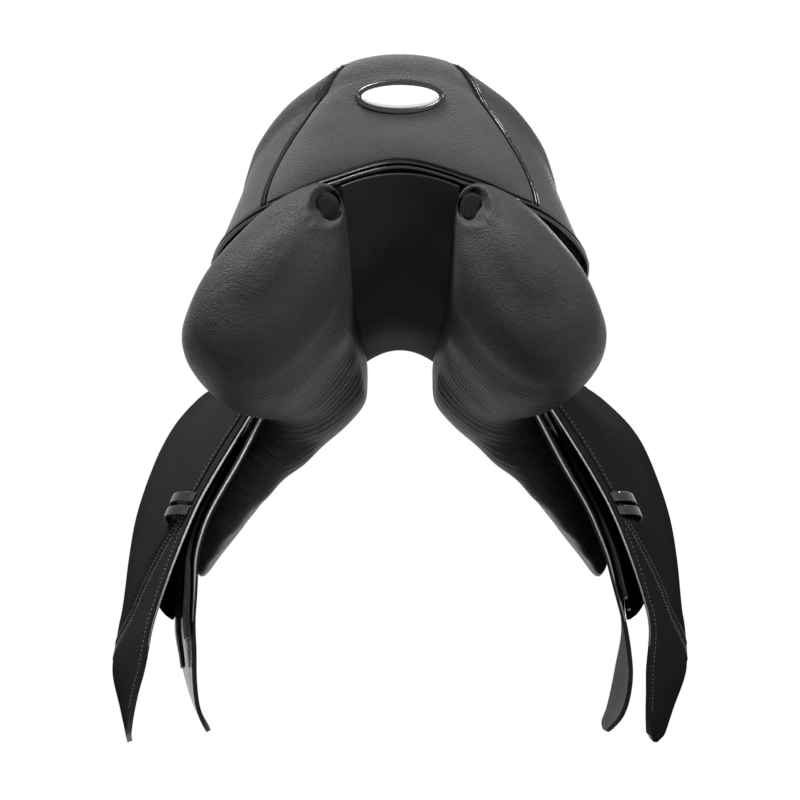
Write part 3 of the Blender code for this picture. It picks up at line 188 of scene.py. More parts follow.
SWEAT_FRONT_Y = (
    (-0.312, 0.06), (-0.302, 0.085), (-0.286, 0.105), (-0.246, 0.135), (-0.196, 0.158), (-0.15, 0.172),
    (-0.1, 0.18), (-0.05, 0.178), (0.0, 0.168), (0.04, 0.15),
)
SWEAT_REAR_X = (
    (-0.312, 0.1775), (-0.291, 0.18), (-0.254, 0.185), (-0.214, 0.187), (-0.167, 0.1835), (-0.127, 0.171),
    (-0.072, 0.142), (-0.025, 0.119), (0.03, 0.092), (0.08, 0.06),
)
SWEAT_FRONT_X = (
    (-0.312, 0.185), (-0.286, 0.2065), (-0.246, 0.221), (-0.206, 0.229), (-0.158, 0.227), (-0.109, 0.2205),
    (-0.05, 0.2), (0.0, 0.165), (0.046, 0.102), (0.08, 0.062),
)
SWEAT_TOP_REAR_Z = 0.014
SWEAT_TOP_RISE = 0.08
SWEAT_BOTTOM_Z = -0.312
SWEAT_REAR_REF = -0.092
SWEAT_FRONT_REF = 0.18
SWEAT_EASE = 0.85
SWEAT_SPREAD_FROM = -0.12
SWEAT_REAR_SPREAD = {"left": 0.0, "right": 0.038}
SWEAT_FRONT_SPREAD = {"left": 0.0, "right": -0.006}
SWEAT_REAR_BELLY = {"left": -0.008, "right": 0.0}
GRIP_TOP = 0.02
GRIP_SEAM = ((0.03, 0.136), (0.1, 0.173), (0.21, 0.214), (0.3, 0.241), (0.65, 0.281), (1.0, 0.3))
GRIP_INSET = 0.03
BLOCK_WIDTH = 0.052
BLOCK_HEIGHT = 0.03
BLOCK_TOP_Z = 0.0
BLOCK_BOTTOM_Z = -0.2
BLOCK_INSET = 0.01
BLOCK_CLEARANCE = 0.003
SKIRT_REAR_Y = -0.026
SKIRT_FRONT_Y = 0.168
SKIRT_STAND = 0.002
SKIRT_BULGE = 0.012
SKIRT_CORNER = 0.03
SKIRT_END = 0.0085
TOP_REAR_Y = -0.08
TOP_FRONT_Y = 0.166
TOP_CUT_REAR_Y = 0.022
TOP_CUT_FRONT_Y = 0.146
TOP_CUT_DEPTH = 0.42
FLAP_ROOT_INSET = 0.012
ROOT_GAP = 0.0024
GIRTH_WEB_Y = {"front": 0.062, "rear": -0.016}
BILLET_WIDTH = 0.025
BILLET_TOP_Z = 0.031
BILLET_PIVOT = 0.0125
BILLET_END_Z = {
    ("left", "front"): -0.252, ("left", "rear"): -0.23,
    ("right", "front"): -0.199, ("right", "rear"): -0.195,
}
BILLET_STAND_TOP = 0.0012
BILLET_STAND_LOW = 0.003
KEEPER_DROP = 0.133
KEEPER_SHARES = (0.012, 0.1)
KEEPER_HEIGHT = 0.011
EDGE_WELT_RADIUS = 0.0026
EDGE_WELT_GAP = 0.0018
BACK_WELT_TOP_SHARE = 0.079
BACK_WELT_LOW_SHARE = 0.2
BACK_WELT_BOW = 0.033
BACK_WELT_SHARE_GAP = 0.0105
EDGE_WELT_END_SHARE = 0.42
FACING_END_SHARE = 0.33
BADGE_Z = 0.2255
BADGE_HALF_WIDTH = 0.034
BADGE_HALF_HEIGHT = 0.0104
BADGE_THICKNESS = 0.0018
BADGE_RIM_RADIUS = 0.0022
SIDES = {"left": -1.0, "right": 1.0}


def along(stations, place):
    """Value at a place on a smooth curve through (place, value) stations, which never overshoots."""
    if place <= stations[0][0]:
        return stations[0][1]
    if place >= stations[-1][0]:
        return stations[-1][1]
    slopes = []
    for (x0, y0), (x1, y1) in zip(stations, stations[1:]):
        slopes.append((y1 - y0) / (x1 - x0))
    index = 0
    while stations[index + 1][0] < place:
        index += 1

    def tangent(knot):
        if knot == 0:
            return slopes[0]
        if knot == len(stations) - 1:
            return slopes[-1]
        before = slopes[knot - 1]
        after = slopes[knot]
        if before * after <= 0.0:
            return 0.0
        return 2.0 * before * after / (before + after)

    x0, y0 = stations[index]
    x1, y1 = stations[index + 1]
    span = x1 - x0
    t = (place - x0) / span
    value = y0 * (1 + 2 * t) * (1 - t) ** 2 + y1 * t * t * (3 - 2 * t)
    return value + span * (tangent(index) * t * (1 - t) ** 2 - tangent(index + 1) * t * t * (1 - t))


def lerp(a, b, t):
    return a + (b - a) * t


def spaced(low, high, steps):
    """Values from low to high in even steps, with both ends."""
    return [lerp(low, high, i / steps) for i in range(steps + 1)]


def ease(t):
    """Smooth rise from 0 to 1 as t goes from 0 to 1, level outside."""
    t = min(1.0, max(0.0, t))
    return t * t * (3 - 2 * t)


def half_outline(points, share):
    """Point on a half outline that meets the centre plane squarely at both ends, by share of length."""
    before = (-points[1][0],) + points[1][1:]
    after = (-points[-2][0],) + points[-2][1:]
    knots = [Vector(point) for point in (before,) + points + (after,)]
    lengths = [0.0]
    for a, b in zip(points, points[1:]):
        lengths.append(lengths[-1] + (Vector(b) - Vector(a)).length)
    place = min(1.0, max(0.0, share)) * lengths[-1]
    index = 0
    while index < len(points) - 2 and lengths[index + 1] < place:
        index += 1
    t = (place - lengths[index]) / (lengths[index + 1] - lengths[index])
    p0, p1, p2, p3 = knots[index:index + 4]
    return 0.5 * (2 * p1 + (p2 - p0) * t + (2 * p0 - 5 * p1 + 4 * p2 - p3) * t * t
                  + (3 * p1 - p0 - 3 * p2 + p3) * t ** 3)


def seat_z(x, y):
    return along(SEAT_LINE, y) - along(SEAT_FALL, y) * x * x


def seat_below(x, y, depth):
    """Height of a layer that lies a depth under the seat's surface, measured square to it."""
    step = 0.002
    slope_x = (seat_z(x + step, y) - seat_z(x - step, y)) / (2 * step)
    slope_y = (seat_z(x, y + step) - seat_z(x, y - step)) / (2 * step)
    return seat_z(x, y) - depth * math.sqrt(1 + slope_x ** 2 + slope_y ** 2)


WEB_STACK = 2 * (WEB_THICKNESS + CURVE_GAP) + CURVE_GAP


def foam_bottom(x, y):
    return seat_below(x, y, SEAT_LEATHER + FOAM_GAP + along(FOAM_DEPTH, y))


def tree_top(x, y):
    return foam_bottom(x, y) - WEB_STACK


def tree_bottom(x, y):
    return tree_top(x, y) - TREE_THICKNESS


def ceiling(x, y):
    """Upper limit of what lies under the tree: the panels and the gullet lining."""
    free = along(CEILING, y) - along(CEILING_FALL, y) * x * x
    facing = (FACING_LEATHER + CURVE_GAP) * ease((-0.095 - y) / 0.015)
    under_tree = min(free, tree_bottom(x, y) - SPRING_THICKNESS - SPRING_GAP - CURVE_GAP - facing)
    return lerp(under_tree, free, ease((abs(x) - along(TREE_HALF_WIDTH, y) - 0.004) / 0.026))


def rim_point(share):
    x, y = half_outline(SEAT_RIM, share)
    return Vector((x, y, seat_z(x, y)))


def edge_point(share):
    return half_outline(SEAT_EDGE, share)


def seat_wall(share, height_share):
    """Point on the outside of the seat's side, from its lower edge to the rim, on the right side."""
    return edge_point(share).lerp(rim_point(share), height_share)


def seat_wall_normal(share, height_share):
    step = 0.004
    a = seat_wall(share + step, height_share) - seat_wall(max(0.0, share - step), height_share)
    b = rim_point(share) - edge_point(share)
    normal = b.cross(a).normalized()
    return -normal if normal.dot(Vector((0, -1, 0)) if share < 0.2 else Vector((1, 0, 0))) < 0 else normal


def seat_dish(share, inward):
    """Point on top of the seat, from the rim to the centre line, on the right side."""
    rim = rim_point(share)
    x = rim.x * (1 - inward)
    y = lerp(rim.y, lerp(SEAT_CENTRE[0], SEAT_CENTRE[1], share), inward)
    return Vector((x, y, seat_z(x, y)))


def around(turn):
    """Share of the half outline and side for a turn round the whole seat."""
    return (2 * turn, 1.0) if turn <= 0.5 else (2 - 2 * turn, -1.0)


def bend_point(y):
    """Point on the bend line of the outer flap, right side."""
    run = y - BEND_REAR[1]
    return Vector((BEND_REAR[0] + BEND_SPREAD * run, y, BEND_REAR[2] + BEND_RISE * run))


def flap_surface_x(y, z, side):
    rear_y = along(FLAP_REAR_Y, z)
    rear_x = along(FLAP_REAR_X, z)
    crest_x = along(FLAP_CREST_X, z)
    share = (y - rear_y) / (FLAP_CREST_Y - rear_y)
    if share <= 1.0:
        x = rear_x + (crest_x - rear_x) * (1 - (1 - share) ** FLAP_EASE)
    else:
        x = crest_x - FLAP_FRONT_CURL * ((y - FLAP_CREST_Y) / 0.1) ** 2
    tuck = FLAP_TUCK[side] * ease((FLAP_TUCK_FROM - z) / (FLAP_TUCK_FROM - FLAP_BOTTOM_Z))
    tuck *= 1 - FLAP_TUCK_FADE * min(1.0, max(0.0, share))
    flare = FLAP_FLARE[side] * ease((0.03 - z) / 0.06) * ease((z - FLAP_BOTTOM_Z) / 0.2)
    return x - tuck + flare


def flap_point(side, y, drop):
    """Outer face of the outer flap, a drop below its bend line, as if on the right side."""
    bend = bend_point(y)
    z = bend.z - drop
    straighten = bend.x - flap_surface_x(y, bend.z, side)
    return Vector((flap_surface_x(y, z, side) + straighten * (1 - ease(drop / FLAP_FADE)), y, z))


def flap_edge_y(stations, drop):
    y = along(stations, -drop)
    for _ in range(4):
        y = along(stations, bend_point(y).z - drop)
    return y


def flap_share_point(side, share, drop, offset=0.0):
    """Point at a share of the outer flap's width, offset square to it towards the outside."""
    rear = flap_edge_y(FLAP_REAR_Y, drop)
    front = flap_edge_y(FLAP_FRONT_Y, drop)
    y = lerp(rear, front, share)
    point = flap_point(side, y, drop)
    if offset == 0.0:
        return point
    step = 0.003
    along_y = flap_point(side, y + step, drop) - flap_point(side, y - step, drop)
    down = flap_point(side, y, drop + step) - flap_point(side, y, max(0.0, drop - step))
    normal = down.cross(along_y).normalized()
    if normal.x < 0:
        normal = -normal
    return point + offset * normal


FLAP_DROP = bend_point(0.078).z - FLAP_BOTTOM_Z


def sweat_x(y, z, side):
    """Middle of the sweat flap's leather, as a distance from the centre plane."""
    share = (y - SWEAT_REAR_REF) / (SWEAT_FRONT_REF - SWEAT_REAR_REF)
    share = min(1.15, max(0.0, share))
    low = ease((SWEAT_SPREAD_FROM - z) / (SWEAT_SPREAD_FROM - SWEAT_BOTTOM_Z)) ** 1.5
    belly = ease((SWEAT_SPREAD_FROM - z) / 0.08) * ease((z - SWEAT_BOTTOM_Z) / 0.08)
    rear = along(SWEAT_REAR_X, z) + SWEAT_REAR_SPREAD[side] * low + SWEAT_REAR_BELLY[side] * belly
    front = along(SWEAT_FRONT_X, z) + SWEAT_FRONT_SPREAD[side] * low
    return rear + (front - rear) * share ** SWEAT_EASE


def sweat_top_z(y):
    return SWEAT_TOP_REAR_Z + SWEAT_TOP_RISE * (y - SWEAT_REAR_Y[-1][1])


def sweat_slopes(side, y, z):
    step = 0.003
    slope_y = (sweat_x(y + step, z, side) - sweat_x(y - step, z, side)) / (2 * step)
    slope_z = (sweat_x(y, z + step, side) - sweat_x(y, z - step, side)) / (2 * step)
    return slope_y, slope_z


def sweat_point(side, y, z, offset=0.0):
    point = Vector((sweat_x(y, z, side), y, z))
    if offset == 0.0:
        return point
    slope_y, slope_z = sweat_slopes(side, y, z)
    return point + offset * Vector((1.0, -slope_y, -slope_z)).normalized()


def sweat_slant(side, y, z):
    """Depth of the sweat flap along X for each unit of its thickness."""
    slope_y, slope_z = sweat_slopes(side, y, z)
    return math.sqrt(1 + slope_y ** 2 + slope_z ** 2)


def back_share(up):
    """Share of the half outline at which a welt of the seat's back lies, from low to top."""
    return lerp(BACK_WELT_LOW_SHARE, BACK_WELT_TOP_SHARE, up) + BACK_WELT_BOW * 4 * up * (1 - up)


def straight_edge(y):
    """Lower edge of the seat along the skirt, where it runs straight."""
    low, high = SEAT_EDGE[9], SEAT_EDGE[12]
    t = (y - low[1]) / (high[1] - low[1])
    return Vector((lerp(low[0], high[0], t), y, lerp(low[2], high[2], t)))


def flap_root(y):
    """Upper end of the outer flap's fixed part, tucked under the lower edge of the seat."""
    root = straight_edge(y) - Vector((0.0, 0, ROOT_GAP))
    root.x = min(root.x, bend_point(y).x - FLAP_ROOT_INSET)
    return root


def flap_fall(y):
    """Unit normal, pointing outwards, of the line from the flap's root to the bend line."""
    fall = bend_point(y) - straight_edge(y)
    return Vector((-fall.z, 0, fall.x)).normalized()


def billet_lean(side, middle, end_z):
    """Rearward lean at which a strap hangs still on the slanted sweat flap."""
    half_z = lerp(BILLET_TOP_Z, end_z, 0.5)
    slope = sweat_slopes(side, middle, half_z)[0]
    reach = sweat_x(middle, half_z, side) - sweat_x(middle, BILLET_TOP_Z, side)
    return slope * reach / (BILLET_TOP_Z - half_z)


# Numbers of faces, and places on the saddle that only the looks need
SEAT_FACES = (160, 62)
PANEL_FACES = (88, 120)
FLAP_FACES = (44, 92)
PANEL_DOME = 0.006
PANEL_CAP_SHARE = 0.05
PANEL_SWELL = 0.0042
PANEL_CORNER = 0.0125
PANEL_WAVE = 0.0013
PANEL_WAVE_PITCH = 0.034
PANEL_LEG_OUT = 0.0045
PANEL_FOLD = 0.0018
FELT_SINK = -0.0012
FELT_SPREAD = 1.2
FELT_MOVE_X = 0.003
FELT_MOVE_Z = 0.006
RIM_ROUND_LOW = 0.8
RIM_ROUND_TOP = 1.13
RIM_LEVEL = 0.0015
FLAP_BEND_SHARE = 0.16
BACK_CROWN = 0.003
SEAT_WELT_X = (
    (-0.232, 0.046), (-0.19, 0.07), (-0.13, 0.083), (-0.06, 0.08), (0.02, 0.062), (0.1, 0.047),
    (0.165, 0.036), (0.183, 0.0271),
)
SEAT_WELT_FRONT_SHARE = 0.94
SEAT_WELT_PROUD = 0.4
PHOTO_FOCAL_PIXELS = 2235
PHOTO_PIXELS = 800
CAMERA_PLACE = (0.0, -2.1026, -0.3707)
CAMERA_LOOKS_UP = 10.0
FLOOR_DROP = 0.12
FLOOR_BOUNCE = 0.06
FLOOR_FADE = (0.45, 1.9)
FLAP_TIP = 0.012
SWEAT_TIP = 0.014
WELT_SEAM = 0.0042
GRIP_SEAMS = (0.0035, 0.0085)
STITCH_PROUD = 0.15
CORD_PROUD = 0.0002
RUBBED_EDGE = 0.0009
POMMEL_LEATHER = 0.0016
BACK_OVERLAP = 0.0004
BACK_LOW = 0.03
BACK_TOP = 0.95
BACK_WELT_TOP = 0.97
BACK_WELT_PAIR = (("inner", -0.0042), ("outer", 0.0012))
PIPING_RISE = 0.0042
PIPING_OUT = 0.0006
BADGE_STEPS = ((0.0006, 0.0004), (0.003, 0.0003))
BADGE_SEAM = 0.0016
KEEPER_STRAP = 0.0085
KEEPER_SLANT = 0.01
KEEPER_ROUNDING = 0.0005
GRIP_PUFF = 0.0008
GRIP_SEAM_INSET = 0.022
SKIRT_SEAM_SHARE = 0.92
FLAP_EDGE_DROPS = (0.004, 0.262)
FLAP_SEAM_DROPS = (0.15, 0.325)
SWEAT_EDGE_Z = (-0.004, -0.215)
LINING_ENDS = (-0.24, 0.196)
LINING_MARGIN = 0.0025
LINING_SIDE = (0.053, 0.024)
CREASE_LEAST = 0.12
PIPING_RADIUS = 0.0012
SWEAT_EDGE_RADIUS = 0.0008
FLAP_EDGE_RADIUS = 0.001
KEEPER_SHIFT = 0.0062
BADGE_SIDES = 96
FELT_HOLLOW = 0.011
FELT_PUCKER = 0.0011
FELT_LIP = 0.0022

# Marks on the leather: the worn rim, the tooled line beside it and the holes of the girth straps, drawn dark
# as painted shade
WORN_WIDTH = 0.0016
TOOLED_LINE = 0.0027
TOOLED_WIDTH = 0.0005
STRAP_LINE = 0.003
STRAP_LINE_WIDTH = 0.0006
HOLE_PITCH = 0.025
HOLE_RADIUS = 0.0022

# Light: what the white surroundings give to matt surfaces, and the lamps as name, place, aim, size, watts
WHITE = (1.0, 1.0, 1.0, 1.0)
BLACK = (0.0, 0.0, 0.0, 1.0)
WORLD_FILL = 0.04
LAMPS = (
    ("top_light", (-0.8, -1.0, 2.0), (0.0, -0.1, 0.05), 0.9, 104.0),
    ("right_light", (1.5, -1.7, 0.6), (0.0, -0.1, 0.05), 0.4, 36.0),
    ("front_light", (0.6, 1.9, 1.5), (0.0, 0.1, 0.0), 1.0, 16.0),
    ("left_light", (-1.7, -1.0, 1.2), (0.0, -0.1, 0.05), 0.5, 12.0),
)


def length_property(name, description, default, low, high):
    return bpy.props.FloatProperty(
        name=name, description=description, default=default, min=low, max=high, precision=4, unit="LENGTH")


class SaddleSizes(bpy.types.PropertyGroup):
    stitch_length: length_property(
        "Stitch Length", "Length of thread that shows in one stitch", 0.0031, 0.001, 0.01)
    stitch_pitch: length_property(
        "Stitch Pitch", "Distance from one stitch to the next", 0.0044, 0.002, 0.02)
    thread: length_property(
        "Thread", "Thickness of the sewing thread", 0.0012, 0.0003, 0.003)
    seam_inset: length_property(
        "Seam Inset", "Distance of a line of stitches from the edge of the leather", 0.0045, 0.002, 0.02)
    edge_round: length_property(
        "Edge Rounding", "Radius to which the cut edges of the leather are rubbed down", 0.0009, 0.0, 0.002)
    grain: length_property(
        "Grain Size", "Size of one pebble of the leather's grain", 0.0011, 0.0003, 0.01)
    welt: length_property(
        "Welt Radius", "Radius of the thin patent welts on the back of the seat", 0.0014, 0.0005, 0.004)
    crease: length_property(
        "Crease Depth", "Depth of the stretch creases in the panel leather", 0.0012, 0.0, 0.003)


def colour_property(name, description, default):
    return bpy.props.FloatVectorProperty(
        name=name, description=description, subtype="COLOR", size=3, min=0.0, max=1.0, default=default)


class SaddleColours(bpy.types.PropertyGroup):
    seat: colour_property("Seat Leather", "Leather of the seat and its back", (0.082, 0.082, 0.083))
    panel: colour_property("Panel Leather", "Soft leather of the panels", (0.041, 0.041, 0.0415))
    flap: colour_property("Flap Leather", "Firm leather of the flaps and straps", (0.02, 0.02, 0.0204))
    patent: colour_property("Patent Leather", "Glossy leather of the welts", (0.006, 0.006, 0.006))
    lining: colour_property("Gullet Lining", "Matt lining of the channel", (0.020, 0.020, 0.020))
    flesh: colour_property("Flesh Side", "Rough inner side of the sweat flaps", (0.115, 0.115, 0.115))
    # The pale colour of the cut edge is a painted highlight: it stands in for the light on the rubbed edges
    # of the flaps, sweat flaps and skirts.
    cut: colour_property("Cut Edge", "Edge of the leather where it is cut", (0.62, 0.62, 0.62))
    felt: colour_property("Felt", "Felt plugs in the panels", (0.008, 0.008, 0.008))
    thread: colour_property("Thread", "Sewing thread", (0.07, 0.07, 0.07))
    plate: colour_property("Plate", "Bare badge plate", (0.86, 0.86, 0.86))
    steel: colour_property("Steel", "Bars, rings and rivets", (0.52, 0.52, 0.53))
    wood: colour_property("Beech", "Laminated wood of the tree", (0.42, 0.27, 0.14))
    foam: colour_property("Foam", "Foam of the seat", (0.62, 0.59, 0.50))
    webbing: colour_property("Webbing", "Woven straps inside the seat", (0.50, 0.47, 0.40))
    floor: colour_property("Floor", "Plain studio floor", (0.80, 0.80, 0.80))


def tone(colour, share):
    """A share of a colour, as a shader takes it."""
    return (*[min(1.0, share * channel) for channel in colour], 1.0)


class Nodes:
    """Puts nodes into a tree and joins them."""

    def __init__(self, tree):
        self.tree = tree

    def add(self, kind, **values):
        """A new node, with inputs given by name as numbers or as another node's output."""
        node = self.tree.nodes.new(kind)
        for name, value in values.items():
            key = name.replace("_", " ")
            if key in node.inputs:
                self.fill(node.inputs[key], value)
            else:
                setattr(node, name, value)
        return node

    def fill(self, socket, value):
        if isinstance(value, bpy.types.NodeSocket):
            self.tree.links.new(value, socket)
        else:
            socket.default_value = value

    def feed(self, node, *values):
        """Fills the inputs of a node in their order, and gives its first output."""
        for socket, value in zip(node.inputs, values):
            self.fill(socket, value)
        return node.outputs[0]

    def math(self, operation, *values):
        return self.feed(self.add("ShaderNodeMath", operation=operation), *values)

    def plus(self, a, b):
        return self.math("ADD", a, b)

    def minus(self, a, b):
        return self.math("SUBTRACT", a, b)

    def times(self, a, b):
        return self.math("MULTIPLY", a, b)

    def reach(self, a, b):
        """Length of a line with legs a and b."""
        return self.math("SQRT", self.plus(self.times(a, a), self.times(b, b)))

    def remap(self, value, low, high, to_low, to_high, smooth=False):
        node = self.add("ShaderNodeMapRange", interpolation_type="SMOOTHSTEP" if smooth else "LINEAR")
        return self.feed(node, value, low, high, to_low, to_high)

    def seen_white(self):
        """1 for rays that have to meet a white background: straight, mirrored or through something clear."""
        rays = self.add("ShaderNodeLightPath").outputs
        indirect = self.math("MAXIMUM", rays["Is Glossy Ray"], rays["Is Transmission Ray"])
        return self.math("MAXIMUM", rays["Is Camera Ray"], indirect)


class Finish(Nodes):
    """A material put together node by node round its Principled shader."""

    def __init__(self, name, colour, roughness, **inputs):
        self.material = bpy.data.materials.new(name)
        self.material.use_nodes = True
        super().__init__(self.material.node_tree)
        self.shader = self.tree.nodes["Principled BSDF"]
        self.colour = colour
        self.material.diffuse_color = tone(colour, 1.0)
        self.place = self.add("ShaderNodeTexCoord").outputs["Object"]
        inputs.update(Base_Color=tone(colour, 1.0), Roughness=roughness)
        for key, value in inputs.items():
            self.shader.inputs[key.replace("_", " ")].default_value = value

    def noise(self, scale, detail=2.0, place=None, roughness=0.5):
        return self.add("ShaderNodeTexNoise", Vector=place or self.place, Scale=scale, Detail=detail,
                        Roughness=roughness).outputs["Fac"]

    def stretch(self, place, scale):
        return self.add("ShaderNodeMapping", Vector=place, Scale=scale).outputs["Vector"]

    def blend(self, factor, a, b):
        mix = self.add("ShaderNodeMix", data_type="RGBA")
        for index, value in ((0, factor), (6, a), (7, b)):
            self.fill(mix.inputs[index], value)
        return mix.outputs[2]

    def shade(self, factor, dark, light):
        """Base colour that wanders between two shares of itself."""
        return self.blend(factor, tone(self.colour, dark), tone(self.colour, light))

    def bump(self, height, distance, strength=1.0, before=None):
        node = self.add("ShaderNodeBump", Height=height, Distance=distance, Strength=strength)
        if before is not None:
            self.fill(node.inputs["Normal"], before)
        return node.outputs["Normal"]

    def attribute(self, name):
        return self.add("ShaderNodeAttribute", attribute_name=name).outputs["Fac"]

    def finish(self, colour=None, roughness=None, normal=None):
        for name, value in (("Base Color", colour), ("Roughness", roughness), ("Normal", normal)):
            if value is not None:
                self.tree.links.new(value, self.shader.inputs[name])
        return self.material


def leather(name, colour, roughness, grain, relief, gloss, worn=False, creased=0.0):
    """Leather with pebbled grain, pores and broad folds, and where asked worn edges or stretch creases."""
    made = Finish(name, colour, roughness, Specular_IOR_Level=gloss)
    swirl = made.add("ShaderNodeTexNoise", Vector=made.place, Scale=0.6 / grain, Detail=2.0).outputs["Color"]
    shift = made.feed(made.add("ShaderNodeVectorMath", operation="SCALE", Scale=0.9 * grain), swirl)
    bent = made.feed(made.add("ShaderNodeVectorMath", operation="ADD"), made.place, shift)
    cells = made.add("ShaderNodeTexVoronoi", Vector=bent, Scale=1.0 / grain, feature="SMOOTH_F1",
                     Smoothness=0.35).outputs["Distance"]
    pebble = made.minus(0.7, cells)
    pores = made.noise(2.4 / grain, 2.0)
    normal = made.bump(made.noise(38.0, 5.0), 0.0016 * relief)
    normal = made.bump(made.plus(pebble, made.times(pores, 0.35)), 0.00045 * relief, before=normal)
    cloud = made.times(made.noise(13.0, 4.0), 0.8)
    drift = made.times(made.noise(1.0 / (6 * grain), 3.0), 0.25)
    tint = made.shade(made.plus(cloud, drift), 0.72, 1.30)
    rough = made.remap(made.noise(22.0, 4.0), 0.3, 0.7, roughness - 0.06, roughness + 0.07)
    if creased:
        chart = made.add("ShaderNodeUVMap", uv_map="leather").outputs["UV"]
        waves = made.add("ShaderNodeTexWave", Vector=chart, Scale=58.0, Distortion=2.2, Detail=2.5,
                         Detail_Scale=0.35, bands_direction="Y").outputs["Fac"]
        narrow = made.math("POWER", waves, 5.0)
        streaks = made.noise(1.0, 3.0, made.stretch(chart, (12.0, 230.0, 1.0)), 0.55)
        blotches = made.noise(17.0, 2.0, made.stretch(chart, (1.0, 2.5, 1.0)))
        patches = made.remap(blotches, 0.35, 0.6, 0.15, 1.0)
        lines = made.plus(made.times(narrow, patches), made.times(streaks, 0.9))
        normal = made.bump(made.times(lines, made.attribute("crease")), creased, before=normal)
    if worn:
        edge = made.attribute("edge")
        near = made.remap(edge, 0.0, WORN_WIDTH, 1.0, 0.0, True)
        scuffs = made.remap(made.noise(160.0, 4.0), 0.42, 0.62, 0.15, 0.9)
        wear = made.times(made.times(near, scuffs), 0.55)
        tint = made.blend(wear, tint, tone(colour, 5.0))
        tooled = made.math("ABSOLUTE", made.minus(edge, TOOLED_LINE))
        normal = made.bump(made.remap(tooled, 0.0, TOOLED_WIDTH, 0.0, 1.0, True), 0.0004, before=normal)
    return made.finish(tint, rough, normal)


def patent(name, colour):
    """Glossy coated leather of the welts."""
    made = Finish(name, colour, 0.16, Specular_IOR_Level=0.32, Coat_Weight=0.45, Coat_Roughness=0.08)
    tint = made.shade(made.noise(40.0), 0.7, 1.3)
    rough = made.remap(made.noise(60.0), 0.3, 0.7, 0.12, 0.24)
    return made.finish(tint, rough, made.bump(made.noise(110.0, 3.0), 0.0005))


def flesh_side(name, colour):
    """Rough side of the hide: short fibres, paler where they stand up."""
    made = Finish(name, colour, 0.86, Sheen_Weight=0.25)
    fibres = made.noise(900.0, 5.0, made.stretch(made.place, (1.0, 1.0, 0.35)), 0.7)
    mottle = made.plus(made.times(fibres, 0.7), made.times(made.noise(16.0, 4.0), 0.35))
    return made.finish(made.shade(mottle, 0.6, 1.35), None, made.bump(fibres, 0.0003))


def cut_edge(name, colour, gloss=0.4):
    """Edge of the leather where it is cut and rubbed: layered, a little glossy, with painted shade that
    darkens it low down; in the pale cut colour the edge is a painted highlight.
    """
    made = Finish(name, colour, 0.42, Specular_IOR_Level=gloss)
    layers = made.noise(420.0, 4.0, None, 0.6)
    height = made.add("ShaderNodeSeparateXYZ", Vector=made.place).outputs["Z"]
    # Painted shade: the edge darkens towards the bottom, where less light falls on it.
    painted_light_by_height = made.remap(height, -0.215, -0.13, 0.12, 1.0)
    tint = made.shade(made.times(layers, painted_light_by_height), 0.15, 1.8)
    return made.finish(tint, made.remap(layers, 0.3, 0.7, 0.34, 0.55), made.bump(layers, 0.0002))


def felt(name, colour):
    """Felt with fuzz and small clumps."""
    made = Finish(name, colour, 0.96, Sheen_Weight=0.04, Specular_IOR_Level=0.05)
    fuzz = made.noise(700.0, 6.0, None, 0.75)
    clumps = made.noise(190.0, 3.0)
    tint = made.shade(made.remap(fuzz, 0.35, 0.65, 0.0, 1.0), 0.3, 2.4)
    return made.finish(tint, None, made.bump(made.plus(fuzz, clumps), 0.0009))


def thread(name, colour):
    """Twisted sewing thread."""
    made = Finish(name, colour, 0.55)
    twist = made.noise(2400.0, 2.0)
    return made.finish(made.shade(twist, 0.6, 1.5), None, made.bump(twist, 0.0001))


def steel(name, colour):
    """Brushed steel with faint smears."""
    made = Finish(name, colour, 0.3, Metallic=1.0)
    brushed = made.noise(1.0, 3.0, made.stretch(made.place, (1500.0, 90.0, 1500.0)))
    smears = made.plus(made.times(brushed, 0.6), made.times(made.noise(45.0, 4.0), 0.4))
    tint = made.shade(made.noise(30.0, 3.0), 0.85, 1.1)
    return made.finish(tint, made.remap(smears, 0.3, 0.7, 0.2, 0.42), made.bump(brushed, 0.00004))


def plate_metal(name, colour):
    """Pale plate, rubbed along its length."""
    made = Finish(name, colour, 0.35, Coat_Weight=0.3)
    rubbed = made.noise(1.0, 3.0, made.stretch(made.place, (60.0, 900.0, 1600.0)))
    rough = made.remap(rubbed, 0.3, 0.7, 0.28, 0.42)
    return made.finish(made.shade(rubbed, 0.95, 1.03), rough, made.bump(rubbed, 0.00002))


def beech(name, colour):
    """Laminated wood: thin layers on its edges and flecks along the grain."""
    made = Finish(name, colour, 0.48)
    layers = made.add("ShaderNodeTexWave", Vector=made.place, Scale=120.0, Distortion=1.6, Detail=3.0,
                      bands_direction="Z").outputs["Fac"]
    flecks = made.noise(1.0, 4.0, made.stretch(made.place, (700.0, 60.0, 700.0)))
    tint = made.shade(made.plus(made.times(layers, 0.6), made.times(flecks, 0.5)), 0.6, 1.25)
    return made.finish(tint, made.remap(flecks, 0.3, 0.7, 0.4, 0.6), made.bump(flecks, 0.0002))


def foam(name, colour):
    """Foam with open bubbles."""
    made = Finish(name, colour, 0.9)
    bubbles = made.add("ShaderNodeTexVoronoi", Vector=made.place, Scale=650.0).outputs["Distance"]
    tint = made.shade(made.plus(bubbles, made.times(made.noise(20.0, 3.0), 0.3)), 0.75, 1.15)
    return made.finish(tint, None, made.bump(bubbles, 0.0006))


def webbing(name, colour):
    """Woven strap: threads over and under each other."""
    made = Finish(name, colour, 0.82)
    across, down = [made.add("ShaderNodeTexWave", Vector=made.place, Scale=170.0, Distortion=0.6,
                             bands_direction=axis).outputs["Fac"] for axis in "XY"]
    weave = made.times(across, down)
    tint = made.shade(made.plus(weave, made.times(made.noise(400.0, 3.0), 0.3)), 0.6, 1.2)
    return made.finish(tint, None, made.bump(weave, 0.0005))


